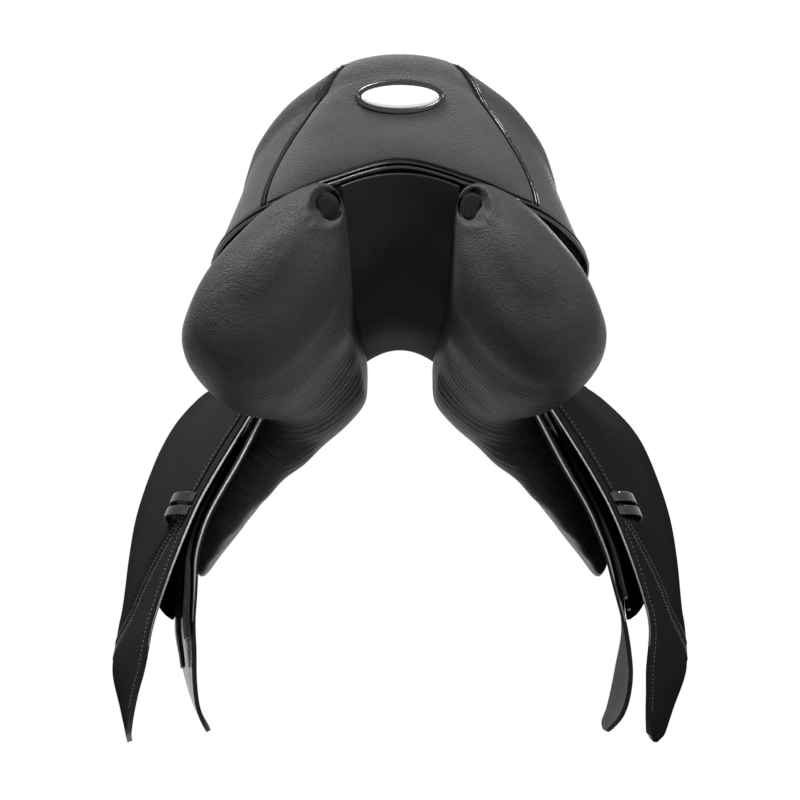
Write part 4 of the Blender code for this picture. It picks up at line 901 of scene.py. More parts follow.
def strap_leather(name, colour, grain):
    """Leather of the girth straps, with their punched holes drawn along the strap's own map as near-black
    painted shade.
    """
    made = Finish(name, colour, 0.42, Specular_IOR_Level=0.15)
    chart = made.add("ShaderNodeUVMap", uv_map="leather").outputs["UV"]
    spot = made.add("ShaderNodeSeparateXYZ", Vector=chart).outputs
    to_hole = made.minus(made.math("MODULO", spot["Y"], HOLE_PITCH), HOLE_PITCH / 2)
    round_hole = made.remap(made.reach(to_hole, spot["X"]), HOLE_RADIUS, HOLE_RADIUS + 0.0004, 1.0, 0.0, True)
    hole = made.times(round_hole, made.remap(spot["Y"], HOLE_PITCH - 0.001, HOLE_PITCH + 0.001, 0.0, 1.0))
    pebble = made.noise(1.0 / grain, 4.0)
    to_line = made.math("ABSOLUTE", made.minus(made.attribute("edge"), STRAP_LINE))
    groove = made.remap(to_line, 0.0, STRAP_LINE_WIDTH, 0.0, 1.0, True)
    normal = made.bump(made.minus(groove, hole), 0.0006, before=made.bump(pebble, 0.0002))
    # Painted shade: the holes are coloured near black for the shadow inside them.
    tint = made.blend(hole, made.shade(made.noise(25.0, 3.0), 0.7, 1.3), (0.002, 0.002, 0.002, 1.0))
    return made.finish(tint, made.remap(pebble, 0.3, 0.7, 0.36, 0.5), normal)


MATERIALS = {}


def make_materials(sizes, colours):
    grain = sizes.grain
    flap = colours.flap
    MATERIALS.update(
        seat=leather("seat leather", colours.seat, 0.42, grain, 0.8, 0.10),
        panel=leather("panel leather", colours.panel, 0.33, 1.35 * grain, 1.3, 0.065, creased=sizes.crease),
        flap=leather("flap leather", flap, 0.42, grain, 0.6, 0.0, worn=True),
        grip=leather("grip leather", flap, 0.44, 1.1 * grain, 0.9, 0.0, worn=True),
        knee=leather("knee block leather", flap, 0.44, grain, 0.8, 0.0),
        sweat=leather("sweat flap leather", flap, 0.25, grain, 0.25, 0.5),
        # Painted shade: the backs of the sheets are darkened to a third of the flap leather, to stand for the
        # shadow between the flap and the sweat flap.
        plain=leather("back of the flap leather", tone(flap, 0.35)[:3], 0.85, grain, 0.8, 0.1),
        lining=leather("gullet lining", colours.lining, 0.72, grain, 1.2, 0.12),
        patent=patent("patent leather", colours.patent),
        flesh=flesh_side("flesh side", colours.flesh),
        # The pale cut edge is a painted highlight; the dyed edge below is the leather's own black.
        cut=cut_edge("cut edge", colours.cut),
        dark_cut=cut_edge("dyed edge", tone(colours.cut, 0.015)[:3], 0.12),
        felt=felt("felt", colours.felt),
        thread=thread("thread", colours.thread),
        steel=steel("steel", colours.steel),
        plate=plate_metal("badge plate", colours.plate),
        wood=beech("beech", colours.wood),
        foam=foam("foam", colours.foam),
        webbing=webbing("webbing", colours.webbing),
        strap=strap_leather("strap leather", flap, grain),
    )


# Material slot of the record for each finish
SLOTS = dict.fromkeys(
    ("flap", "grip", "knee", "plain", "sweat", "flesh", "cut", "dark_cut", "thread", "strap"), "flap_leather")
SLOTS.update(seat="seat_leather", panel="panel_leather", lining="lining_leather", patent="patent_leather",
             felt="felt", steel="steel", plate="plate", wood="beech", foam="foam", webbing="webbing")


def add_piece(name, bm, finishes, body, replaced=(), smooth=True):
    """Makes an object of a bmesh with its materials, lets it ride and hides the solids that it stands for."""
    mesh = bpy.data.meshes.new(name)
    bm.to_mesh(mesh)
    bm.free()
    for finish in finishes:
        mesh.materials.append(MATERIALS[finish])
    if smooth:
        mesh.shade_smooth()
    piece = bpy.data.objects.new(name, mesh)
    bpy.context.scene.collection.objects.link(piece)
    if replaced:
        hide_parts(*replaced)
    if body:
        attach(piece, body)
    return piece


def bent_grid(place, columns, rows, width=1.0, height=1.0):
    """A flat grid bent to place(u, v), with its own map in metres before it is bent."""
    bm = bmesh.new()
    bmesh.ops.create_grid(bm, x_segments=columns, y_segments=rows, size=0.5)
    chart = bm.loops.layers.uv.new("leather")
    for face in bm.faces:
        for loop in face.loops:
            loop[chart].uv = (loop.vert.co.x * width, (loop.vert.co.y + 0.5) * height)
    for vert in bm.verts:
        vert.co = place(vert.co.x + 0.5, vert.co.y + 0.5)
    bmesh.ops.remove_doubles(bm, verts=bm.verts, dist=2e-6)
    bmesh.ops.dissolve_degenerate(bm, edges=bm.edges, dist=1e-6)
    return bm


def face_towards(bm, outward):
    """Turns an open sheet's faces so that they look towards a direction on the whole."""
    bmesh.ops.recalc_face_normals(bm, faces=bm.faces)
    if sum(face.normal.dot(outward) * face.calc_area() for face in bm.faces) < 0:
        bmesh.ops.reverse_faces(bm, faces=bm.faces)


def note_edges(bm):
    """Gives every point its distance to the nearest cut edge, for wear and the tooled line."""
    layer = bm.verts.layers.float.new("edge")
    spots = []
    for edge in [edge for edge in bm.edges if edge.is_boundary]:
        a, b = (vert.co for vert in edge.verts)
        steps = max(1, int((b - a).length / 0.0008))
        spots += [a.lerp(b, i / steps) for i in range(steps)]
    tree = kdtree.KDTree(len(spots))
    for count, spot in enumerate(spots):
        tree.insert(spot, count)
    tree.balance()
    for vert in bm.verts:
        vert[layer] = tree.find(vert.co)[2]


def thicken(piece, thickness, offset=-1.0):
    """Gives a sheet its thickness, with its back and its cut edge in its second and third material."""
    solid = piece.modifiers.new("thickness", "SOLIDIFY")
    solid.thickness = thickness
    solid.offset = offset
    solid.material_offset = 1
    solid.material_offset_rim = 2


def hide_sheet(name, place, faces, thickness, finishes, body, replaced, outward,
               offset=-1.0, rounding=RUBBED_EDGE, size=(1.0, 1.0)):
    """A cut piece of leather: grain side, then its back, then its cut edge."""
    bm = bent_grid(place, *faces, *size)
    face_towards(bm, outward)
    note_edges(bm)
    piece = add_piece(name, bm, finishes, body, replaced)
    thicken(piece, thickness, offset)
    if rounding:
        soft = piece.modifiers.new("rubbed edge", "BEVEL")
        soft.width = rounding
        soft.segments = 3
        soft.limit_method = "ANGLE"
        soft.angle_limit = math.radians(50)
        soft.use_clamp_overlap = True
        soft.harden_normals = False
    return piece


def relax(bm, verts, times):
    """Draws points towards the mean of their neighbours, a number of times."""
    for _ in range(times):
        bmesh.ops.smooth_vert(bm, verts=verts, factor=0.5, use_axis_x=True, use_axis_y=True, use_axis_z=True)


def subdivide(piece, levels):
    finer = piece.modifiers.new("finer", "SUBSURF")
    finer.levels = finer.render_levels = levels


def thick_piece(name, place, columns, rows, finishes, body, replaced=(), smoothing=0):
    """A closed piece between place(u, v, 0) and place(u, v, 1)."""
    bm = bmesh.new()
    bmesh.ops.create_grid(bm, x_segments=columns, y_segments=rows, size=0.5)
    share_u = bm.verts.layers.float.new("share_u")
    share_v = bm.verts.layers.float.new("share_v")
    chart = bm.loops.layers.uv.new("leather")
    for face in bm.faces:
        for loop in face.loops:
            loop[chart].uv = (loop.vert.co.x + 0.5, loop.vert.co.y + 0.5)
    for vert in bm.verts:
        vert[share_u] = vert.co.x + 0.5
        vert[share_v] = vert.co.y + 0.5
        vert.co = place(vert[share_u], vert[share_v], 0)
    bmesh.ops.remove_doubles(bm, verts=bm.verts, dist=1e-6)
    raised = bmesh.ops.extrude_face_region(bm, geom=list(bm.faces), use_keep_orig=True)
    for element in raised["geom"]:
        if isinstance(element, bmesh.types.BMVert):
            element.co = place(element[share_u], element[share_v], 1)
    bmesh.ops.remove_doubles(bm, verts=bm.verts, dist=1e-6)
    relax(bm, bm.verts, smoothing)
    bmesh.ops.recalc_face_normals(bm, faces=bm.faces)
    return add_piece(name, bm, finishes, body, replaced)


def node_copy(name, node, finish, body, smooth=True):
    """A merged copy of a CAD solid, for a soft piece that stays out of sight."""
    bm = bmesh.new()
    bm.from_mesh(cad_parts[node].data)
    bmesh.ops.remove_doubles(bm, verts=bm.verts, dist=1e-6)
    bmesh.ops.join_triangles(bm, faces=bm.faces, angle_face_threshold=0.6, angle_shape_threshold=0.7)
    return add_piece(name, bm, [finish], body, [node], smooth)


def round_cord(name, points, radius, finish, body, replaced=(), sides=10, closed=False):
    """A round welt or wire along points, made a mesh."""
    curve = bpy.data.curves.new(name, "CURVE")
    curve.dimensions = "3D"
    curve.bevel_depth = radius
    curve.bevel_resolution = max(1, sides // 4)
    curve.use_fill_caps = not closed
    spline = curve.splines.new("POLY")
    spline.points.add(len(points) - 1)
    for knot, point in zip(spline.points, points):
        knot.co = (*point, 1.0)
    spline.use_cyclic_u = closed
    bent = bpy.data.objects.new(name + "_line", curve)
    bpy.context.scene.collection.objects.link(bent)
    mesh = bpy.data.meshes.new_from_object(bent.evaluated_get(bpy.context.evaluated_depsgraph_get()))
    bpy.data.objects.remove(bent)
    bm = bmesh.new()
    bm.from_mesh(mesh)
    bmesh.ops.remove_doubles(bm, verts=bm.verts, dist=1e-6)
    bmesh.ops.recalc_face_normals(bm, faces=bm.faces)
    return add_piece(name, bm, [finish], body, replaced)


def surface_path(place, line, steps, outward):
    """Points and normals along line(t), a line of (u, v) on the surface place(u, v)."""
    small = 0.002
    path = []
    for t in spaced(0.0, 1.0, steps):
        u, v = line(t)
        along_u = place(u + small, v) - place(u - small, v)
        along_v = place(u, v + small) - place(u, v - small)
        normal = along_u.cross(along_v).normalized()
        if normal.dot(outward) < 0:
            normal = -normal
        path.append((place(u, v), normal))
    return path


def sew(name, paths, sizes, body):
    """One piece that holds all the stitches along paths of (point, normal)."""
    bm = bmesh.new()
    for path in paths:
        travelled = 0.0
        due = sizes.stitch_pitch / 2
        for (a, a_normal), (b, b_normal) in zip(path, path[1:]):
            step = (b - a).length
            while step > 0 and due <= travelled + step:
                share = (due - travelled) / step
                normal = a_normal.lerp(b_normal, share).normalized()
                forward = (b - a).normalized()
                aside = normal.cross(forward).normalized()
                columns = (forward * sizes.stitch_length, aside * sizes.thread, normal * sizes.thread)
                turn = Matrix(columns).transposed().to_4x4()
                turn.translation = a.lerp(b, share) + normal * (STITCH_PROUD * sizes.thread)
                bmesh.ops.create_icosphere(bm, subdivisions=1, radius=0.5, matrix=turn)
                due += sizes.stitch_pitch
            travelled += step
    return add_piece(name, bm, ["thread"], body)


def shell(share, height):
    """Outside of the seat, right side: up its wall for heights 0 to 1, then inwards over the top to 2."""
    if height <= RIM_ROUND_LOW:
        return seat_wall(share, height)
    if height >= RIM_ROUND_TOP:
        return seat_dish(share, height - 1)
    low = seat_wall(share, RIM_ROUND_LOW)
    high = seat_dish(share, RIM_ROUND_TOP - 1)
    top = rim_point(share) - Vector((0, 0, RIM_LEVEL))
    control = 2 * top - (low + high) / 2
    t = (height - RIM_ROUND_LOW) / (RIM_ROUND_TOP - RIM_ROUND_LOW)
    return low.lerp(control, t).lerp(control.lerp(high, t), t)


def shell_normal(share, height):
    """Direction square to the outside of the seat, away from it."""
    step = 0.006
    a = shell(min(1.0, share + step), height) - shell(max(0.0, share - step), height)
    if share < step:
        a = Vector((1, 0, 0))
    b = shell(share, min(2.0, height + step)) - shell(share, height - step)
    normal = b.cross(a).normalized()
    away = Vector((0, -1, 0.6)) if share < 0.2 else Vector((1, 0, 0.6))
    return -normal if normal.dot(away) < 0 else normal


def on_side(point, side):
    """The point, given as on the right side, on the side of a sign."""
    return Vector((point.x * side, point.y, point.z))


def to_side(point, turn):
    """The point on the side that the sign of a turn gives."""
    return Vector((math.copysign(point.x, turn), point.y, point.z))


def make_seat(sizes):
    def skin(turn, up):
        share, side = around(turn)
        height = 2 * up ** 0.85
        return on_side(shell(share, height), side)

    columns, rows = SEAT_FACES
    bm = bent_grid(skin, columns, rows)
    face_towards(bm, Vector((0, 0, 1)))
    piece = add_piece("seat_skin", bm, ["seat", "plain", "dark_cut"], "saddle", ["seat_cover"])
    thicken(piece, SEAT_LEATHER)
    proud = SEAT_WELT_PROUD * sizes.welt
    for word, side in SIDES.items():
        def over_top(offset, side=side):
            points = []
            for y in spaced(SEAT_WELT_X[0][0], SEAT_WELT_X[-1][0], 60):
                x = along(SEAT_WELT_X, y) + offset
                points.append(Vector((side * x, y, seat_z(x, y) + proud)))
            return points

        welt = over_top(0.0)
        for height in spaced(1.2, 0.04, 24)[1:]:
            front = shell(SEAT_WELT_FRONT_SHARE, height)
            welt.append(on_side(front + proud * shell_normal(SEAT_WELT_FRONT_SHARE, height), side))
        round_cord("seat_welt_" + word, welt, sizes.welt, "patent", "saddle")
        sunk = Vector((0, 0, 0.3 * sizes.welt))
        seam = [(point - sunk, Vector((0, 0, 1))) for point in over_top(WELT_SEAM)]
        sew("seat_seam_" + word, [seam], sizes, "saddle")


def make_seat_back(sizes):
    def back_panel(across, up):
        turn = 2 * across - 1
        half = abs(turn)
        share = half * (back_share(up) - BACK_WELT_SHARE_GAP)
        height = lerp(BACK_LOW, BACK_TOP, up)
        crown = BACK_CROWN * (1 - half ** 6) * (1 - (2 * up - 1) ** 4)
        lift = lerp(CURVE_GAP + BACK_LEATHER, BACK_OVERLAP, ease((up - 0.8) / 0.2))
        point = shell(share, height) + (lift + crown) * shell_normal(share, height)
        return to_side(point, turn)

    hide_sheet("back_leather", back_panel, (72, 44), BACK_LEATHER + BACK_OVERLAP,
               ["seat", "plain", "dark_cut"], "saddle", ["cantle_back"], Vector((0, -1, 0)))
    for word, side in SIDES.items():
        for place, aside in BACK_WELT_PAIR:
            points = []
            for up in spaced(0.0, 1.0, 48):
                share = back_share(up) + aside
                height = lerp(BACK_LOW, BACK_WELT_TOP, up)
                proud = lerp(0.55, -1.2, ease((up - 0.94) / 0.06)) * sizes.welt
                points.append(on_side(shell(share, height) + proud * shell_normal(share, height), side))
            round_cord("back_welt_" + place + "_" + word, points, sizes.welt, "patent", "saddle",
                       ["back_welt_" + word] if place == "inner" else ())

    def edge(turn, out, drop):
        share = abs(turn) * EDGE_WELT_END_SHARE
        down = (edge_point(share) - rim_point(share)).normalized()
        point = edge_point(share) + down * (EDGE_WELT_RADIUS + EDGE_WELT_GAP + drop)
        point += seat_wall_normal(share, 0.1) * out
        return to_side(point, turn)

    turns = spaced(-1.0, 1.0, 120)
    line = [edge(turn, -SEAT_LEATHER / 2, 0.0) for turn in turns]
    round_cord("edge_piping", line, EDGE_WELT_RADIUS, "patent", "saddle", ["edge_welt"], sides=16)
    upper = [edge(turn, PIPING_OUT, -PIPING_RISE) for turn in turns]
    round_cord("edge_piping_upper", upper, PIPING_RADIUS, "patent", "saddle")

    def facing(across, inward):
        turn = 2 * across - 1
        rim = edge_point(abs(turn) * FACING_END_SHARE)
        outer = Vector((rim.x * 0.985, lerp(rim.y, -0.10, 0.02), 0))
        inner = Vector((rim.x * 0.55, max(-0.185, rim.y * 0.80), 0))
        point = outer.lerp(inner, inward)
        low = ceiling(point.x, point.y) + CURVE_GAP + FACING_LEATHER / 2
        high = rim.z - EDGE_WELT_RADIUS
        z = lerp(max(low, high), low, ease(inward / 0.45))
        return to_side(Vector((point.x, point.y, z)), turn)

    hide_sheet("under_facing", facing, (80, 16), FACING_LEATHER, ["lining"] * 3, "saddle", ["rear_facing"],
               Vector((0, 0, 1)), offset=0.0)


def make_badge(sizes):
    low = edge_point(0.0)
    high = rim_point(0.0)
    height = (BADGE_Z - low.z) / (high.z - low.z)
    lean = math.atan2(high.y - low.y, high.z - low.z)
    centre = seat_wall(0.0, height)
    normal = Vector((0, -math.cos(lean), math.sin(lean)))
    up = Vector((0, math.sin(lean), math.cos(lean)))
    base = CURVE_GAP + BACK_LEATHER + GAP + 0.8 * BACK_CROWN

    def on_back(angle, grow, out):
        x = math.cos(angle) * (BADGE_HALF_WIDTH + grow)
        z = math.sin(angle) * (BADGE_HALF_HEIGHT + grow)
        return centre + Vector((x, 0, 0)) + up * z + normal * (base + out)

    turns = [2 * math.pi * i / BADGE_SIDES for i in range(BADGE_SIDES)]
    ring = [on_back(a, BADGE_RIM_RADIUS + GAP, 0.5 * BADGE_RIM_RADIUS) for a in turns]
    round_cord("badge_surround", ring, BADGE_RIM_RADIUS, "patent", "saddle", ["badge_rim"], 16, True)
    bm = bmesh.new()
    bmesh.ops.create_circle(bm, cap_ends=True, segments=BADGE_SIDES, radius=1.0)
    for vert in bm.verts:
        vert.co = on_back(math.atan2(vert.co.y, vert.co.x), 0.0, 0.0)
    bm.normal_update()
    raised = bmesh.ops.extrude_face_region(bm, geom=list(bm.faces))
    lifted = [element for element in raised["geom"] if isinstance(element, bmesh.types.BMVert)]
    bmesh.ops.translate(bm, vec=normal * BADGE_THICKNESS, verts=lifted)
    top = [element for element in raised["geom"] if isinstance(element, bmesh.types.BMFace)]
    for width, rise in BADGE_STEPS:
        bmesh.ops.inset_region(bm, faces=top, thickness=width, depth=rise)
    bmesh.ops.poke(bm, faces=top)
    bmesh.ops.recalc_face_normals(bm, faces=bm.faces)
    add_piece("badge_oval", bm, ["plate"], "saddle", ["badge_plate"])
    apart = 2 * BADGE_RIM_RADIUS + BADGE_SEAM
    stitched = [(on_back(a, apart, -CORD_PROUD), normal) for a in turns + turns[:1]]
    sew("badge_seam", [stitched], sizes, "saddle")


def panel_point(turn, back, side):
    """Point on a panel: round its section, and from its rear dome to its front one."""
    first = PANEL_SECTIONS[0][0]
    last = PANEL_SECTIONS[-1][0]
    cap = PANEL_CAP_SHARE
    if back < cap or back > 1 - cap:
        share = (cap - back if back < cap else back - 1 + cap) / cap
        y = first if back < cap else last
        shrink = math.cos(0.5 * math.pi * share)
        out = PANEL_DOME * math.sin(0.5 * math.pi * share) * (-1 if back < cap else 1)
        middle = (section_point(0.0, y, side) + section_point(0.5, y, side)) / 2
        point = middle.lerp(section_point(turn, y, side), shrink)
        return Vector((point.x, y + out, point.z))
    share = (back - cap) / (1 - 2 * cap)
    spread = share - 0.09 * math.sin(2 * math.pi * share)
    return section_point(turn, lerp(first, last, spread), side)


def section_point(turn, y, side):
    """Point round a panel's section, with its corners eased by taking a mean of near points."""
    near = [section_corner(turn + shift, y, side) for shift in (-0.018, 0.0, 0.018)]
    return (near[0] + 2 * near[1] + near[2]) / 4


def section_corner(turn, y, side):
    values = [along([(row[0], row[column]) for row in PANEL_SECTIONS], y) for column in range(1, 8)]
    top_x, top_z, low_x, low_z, sag, top_half, low_half = values
    spread = PANEL_SPREAD[side] * ease((PANEL_SPREAD_END - y) / 0.08)
    top = Vector((top_x, top_z))
    low = Vector((low_x + spread, low_z))
    axis = low - top
    square = Vector((-axis.y, axis.x)).normalized()
    angle = 2 * math.pi * turn
    c, s = math.cos(angle), math.sin(angle)
    power = 2 / PANEL_ROUNDNESS
    t = 0.5 - 0.5 * math.copysign(abs(c) ** power, c)
    half = lerp(top_half, low_half, t)
    middle = top.lerp(low, t) - square * sag * 4 * t * (1 - t)
    if s > 0:
        half += PANEL_BACKING * ease((y - PANEL_SPREAD_END) / 0.05)
    flat = middle + square * half * math.copysign(abs(s) ** power, s)
    x = max(flat.x, along(CHANNEL_HALF_WIDTH, y))
    z = min(flat.y, ceiling(x, y) - CURVE_GAP)
    behind = max(0.0, SWEAT_REAR_Y[-1][1] - PANEL_BULGE_SETBACK - y)
    wall = sweat_x(y, z, side) - sweat_slant(side, y, z) * (SWEAT_LEATHER / 2 + SEWN_GAP)
    x = min(x, wall + PANEL_BULGE_SLOPE * behind)
    return Vector((x, y, z))


def felt_reach(point):
    """How far a point of a panel's rear face lies from the felt plug, 1 on the plug's rim, and its angle."""
    x = point.x - FELT_X - FELT_MOVE_X
    z = point.z - FELT_Z - FELT_MOVE_Z
    return math.hypot(x / (FELT_WIDTH / 2), z / (FELT_HEIGHT / 2)), math.atan2(z, x)


def shape_panel(vert, crease, side):
    """Gives a point of a panel its swell, fold, ripples and felt hollow, and its share of the creases."""
    x, y, z = vert.co
    rear_share = ease((-0.085 - y) / 0.08)
    swell = PANEL_SWELL * rear_share * ease((z - 0.035) / 0.05)
    vert.co += Vector((max(0.0, vert.normal.x), vert.normal.y * 0.4, vert.normal.z)) * swell
    near_lining = math.exp(-((x - LINING_SIDE[0]) / LINING_SIDE[1]) ** 2)
    vert.co.z += PANEL_CORNER * near_lining * rear_share * ease((z - 0.085) / 0.035)
    if y < -0.18:
        fold_height = ease((FELT_Z - 0.006 - z) / 0.02) * ease((z - FELT_Z + 0.085) / 0.06)
        vert.co.y += PANEL_FOLD * math.exp(-((x - FELT_X - 0.002) / 0.004) ** 2) * fold_height
    leg = ease((-0.015 - z) / 0.05) * ease((0.10 - y) / 0.06)
    wave = math.sin(2 * math.pi * (z - 0.35 * y + 0.006 * math.sin(60 * y)) / PANEL_WAVE_PITCH)
    vert.co += vert.normal * PANEL_WAVE * wave * leg
    vert.co.x += PANEL_LEG_OUT * ease((-0.105 - z) / 0.04) * max(0.0, 1.0 - abs(vert.normal.x) * 0.3)
    y, z = vert.co.y, vert.co.z
    low = ease((0.055 - z) / 0.06) * ease((z + 0.10) / 0.06)
    vert[crease] = CREASE_LEAST + (1 - CREASE_LEAST) * low * ease((y + 0.20) / 0.07) * ease((0.06 - y) / 0.06)
    reach, angle = felt_reach(vert.co)
    if y < -0.20 and reach < 3.4:
        sunk = FELT_HOLLOW * ease((1.55 - reach) / 0.35)
        gathered = ease((3.2 - reach) / 1.9) * ease((reach - 0.9) / 0.5)
        pucker = FELT_PUCKER * math.sin(11 * angle + 1.3 * side) * gathered
        lip = FELT_LIP * math.exp(-((reach - 1.8) / 0.3) ** 2)
        vert.co.y += sunk - lip + pucker


def make_panels():
    for word, side in SIDES.items():
        bm = bent_grid(lambda turn, back: panel_point(turn, back, word), *PANEL_FACES, 0.5, 0.47)
        bmesh.ops.recalc_face_normals(bm, faces=bm.faces)
        relax(bm, [vert for vert in bm.verts if vert.co.y < -0.19 or vert.co.y > 0.17], 5)
        relax(bm, bm.verts, 3)
        bm.normal_update()
        crease = bm.verts.layers.float.new("crease")
        for vert in bm.verts:
            shape_panel(vert, crease, side)
        if side < 0:
            for vert in bm.verts:
                vert.co.x = -vert.co.x
            bmesh.ops.reverse_faces(bm, faces=bm.faces)
        bmesh.ops.recalc_face_normals(bm, faces=bm.faces)
        piece = add_piece("panel_cushion_" + word, bm, ["panel"], "saddle", ["panel_" + word])
        subdivide(piece, 1)

        plug = node_copy("felt_" + word, "felt_plug_" + word, "felt", "saddle")
        for vert in plug.data.vertices:
            vert.co.x = side * (FELT_X + FELT_MOVE_X) + (vert.co.x - side * FELT_X) * FELT_SPREAD
            vert.co.z = FELT_Z + FELT_MOVE_Z + (vert.co.z - FELT_Z) * FELT_SPREAD
            vert.co.y += FELT_SINK
        subdivide(plug, 2)


def make_pommel_facing():
    """Leather that closes the front between the seat's lower edge and the channel's lining."""
    def facing(across, down):
        reach = 2 * across - 1
        top = edge_point(lerp(1.0, 0.885, abs(reach)))
        top = Vector((top.x * 0.97, top.y - 0.005, top.z + 0.002))
        y = min(top.y - 0.004, 0.1955)
        low = Vector((top.x * 0.95, y, ceiling(top.x, y) - 3.0 * top.x ** 2 - 0.002))
        point = top.lerp(low, down)
        point.y += 0.003 * math.sin(math.pi * down)
        return to_side(point, reach)

    hide_sheet("pommel_facing", facing, (48, 12), POMMEL_LEATHER, ["plain", "plain", "dark_cut"], "saddle",
               (), Vector((0, 1, 0)))


def make_lining():
    make_pommel_facing()

    def lining(across, back):
        y = lerp(*LINING_ENDS, back)
        half = along(CHANNEL_HALF_WIDTH, y) + LINING_MARGIN
        x = (2 * across - 1) * half
        z = ceiling(x, y) - along(LINING_ARCH, y) * x * x - CURVE_GAP
        return Vector((x, y, z))

    hide_sheet("channel_lining", lining, (30, 90), LINING_LEATHER, ["lining", "lining", "dark_cut"], "saddle",
               ["gullet_lining"], Vector((0, 0, 1)))


def rounded_end(rear, front, rise, radius):
    """Pulls the two edges of a flap together over its last few millimetres."""
    if rise >= radius:
        return rear, front
    middle = (rear + front) / 2
    half = (front - rear) / 2 * math.sqrt(max(0.0, 1 - (1 - max(0.0, rise) / radius) ** 2))
    return middle - half, middle + half


def make_sweat_flaps():
    for word, side in SIDES.items():
        def flap(across, down, word=word, side=side):
            share = lerp(down, 1 - (1 - down) ** 2, 0.8)
            y = 0.03
            for _ in range(5):
                z = lerp(sweat_top_z(y), SWEAT_BOTTOM_Z, share)
                rear, front = along(SWEAT_REAR_Y, z), along(SWEAT_FRONT_Y, z)
                y = lerp(*rounded_end(rear, front, z - SWEAT_BOTTOM_Z, SWEAT_TIP), across)
            return on_side(sweat_point(word, y, z), side)

        hide_sheet("sweat_leather_" + word, flap, (40, 84), SWEAT_LEATHER, ["sweat", "flesh", "dark_cut"],
                   "saddle", ["sweat_flap_" + word], Vector((side, 0, 0)), offset=0.0, rounding=0.0)
        # The pale cord along the rear edge is a painted highlight on the rubbed edge, fading lower down as
        # painted shade.
        line = []
        for z in spaced(*SWEAT_EDGE_Z, 80):
            y = along(SWEAT_REAR_Y, z) - CORD_PROUD
            line.append(on_side(sweat_point(word, y, z, 0.2 * SWEAT_LEATHER), side))
        round_cord("sweat_edge_" + word, line, SWEAT_EDGE_RADIUS, "cut", "saddle")

        def knee_block(across, down, up, word=word):
            z = lerp(BLOCK_TOP_Z, BLOCK_BOTTOM_Z, down)
            front = along(SWEAT_FRONT_Y, z) - BLOCK_INSET
            y = front - BLOCK_WIDTH * (1 - across)
            foot = SWEAT_LEATHER / 2 + CURVE_GAP
            if not up:
                return on_side(sweat_point(word, y, z, foot), side)
            dome = math.sqrt(max(0.0, 1 - (2 * across - 1) ** 2 * 0.96))
            ends = math.sqrt(min(1.0, 0.04 + 5 * min(down, 1 - down)))
            outer = flap_surface_x(y, z, word) - FLAP_LEATHER - BLOCK_CLEARANCE
            room = outer - sweat_x(y, z, word) - foot
            height = max(0.002, min(BLOCK_HEIGHT * dome * ends, room * 0.8))
            return on_side(sweat_point(word, y, z, foot + height), side)

        block = thick_piece("knee_cushion_" + word, knee_block, 22, 44, ["knee"], "saddle",
                            ["knee_block_" + word], smoothing=3)


def flap_row(word):
    """Point on the whole outer flap, fixed part and hanging part in one piece of leather, right side."""
    def place(u, v):
        if v >= FLAP_BEND_SHARE:
            t = (v - FLAP_BEND_SHARE) / (1 - FLAP_BEND_SHARE)
            drop = FLAP_DROP * lerp(t, 1 - (1 - t) ** 2, 0.45)
            low, high = rounded_end(0.0, 1.0, FLAP_DROP - drop, FLAP_TIP)
            return flap_share_point(word, lerp(low, high, u), drop)
        rise = max(0.0, v) / FLAP_BEND_SHARE
        rear = flap_edge_y(FLAP_REAR_Y, 0.0)
        front = flap_edge_y(FLAP_FRONT_Y, 0.0)
        y = lerp(lerp(TOP_REAR_Y, TOP_FRONT_Y, u), lerp(rear, front, u), rise)
        cut = ease((y - TOP_CUT_REAR_Y) / 0.012) * ease((TOP_CUT_FRONT_Y - y) / 0.012)
        start = flap_root(y)
        return start.lerp(bend_point(y), lerp(TOP_CUT_DEPTH * cut, 1.0, rise))
    return place


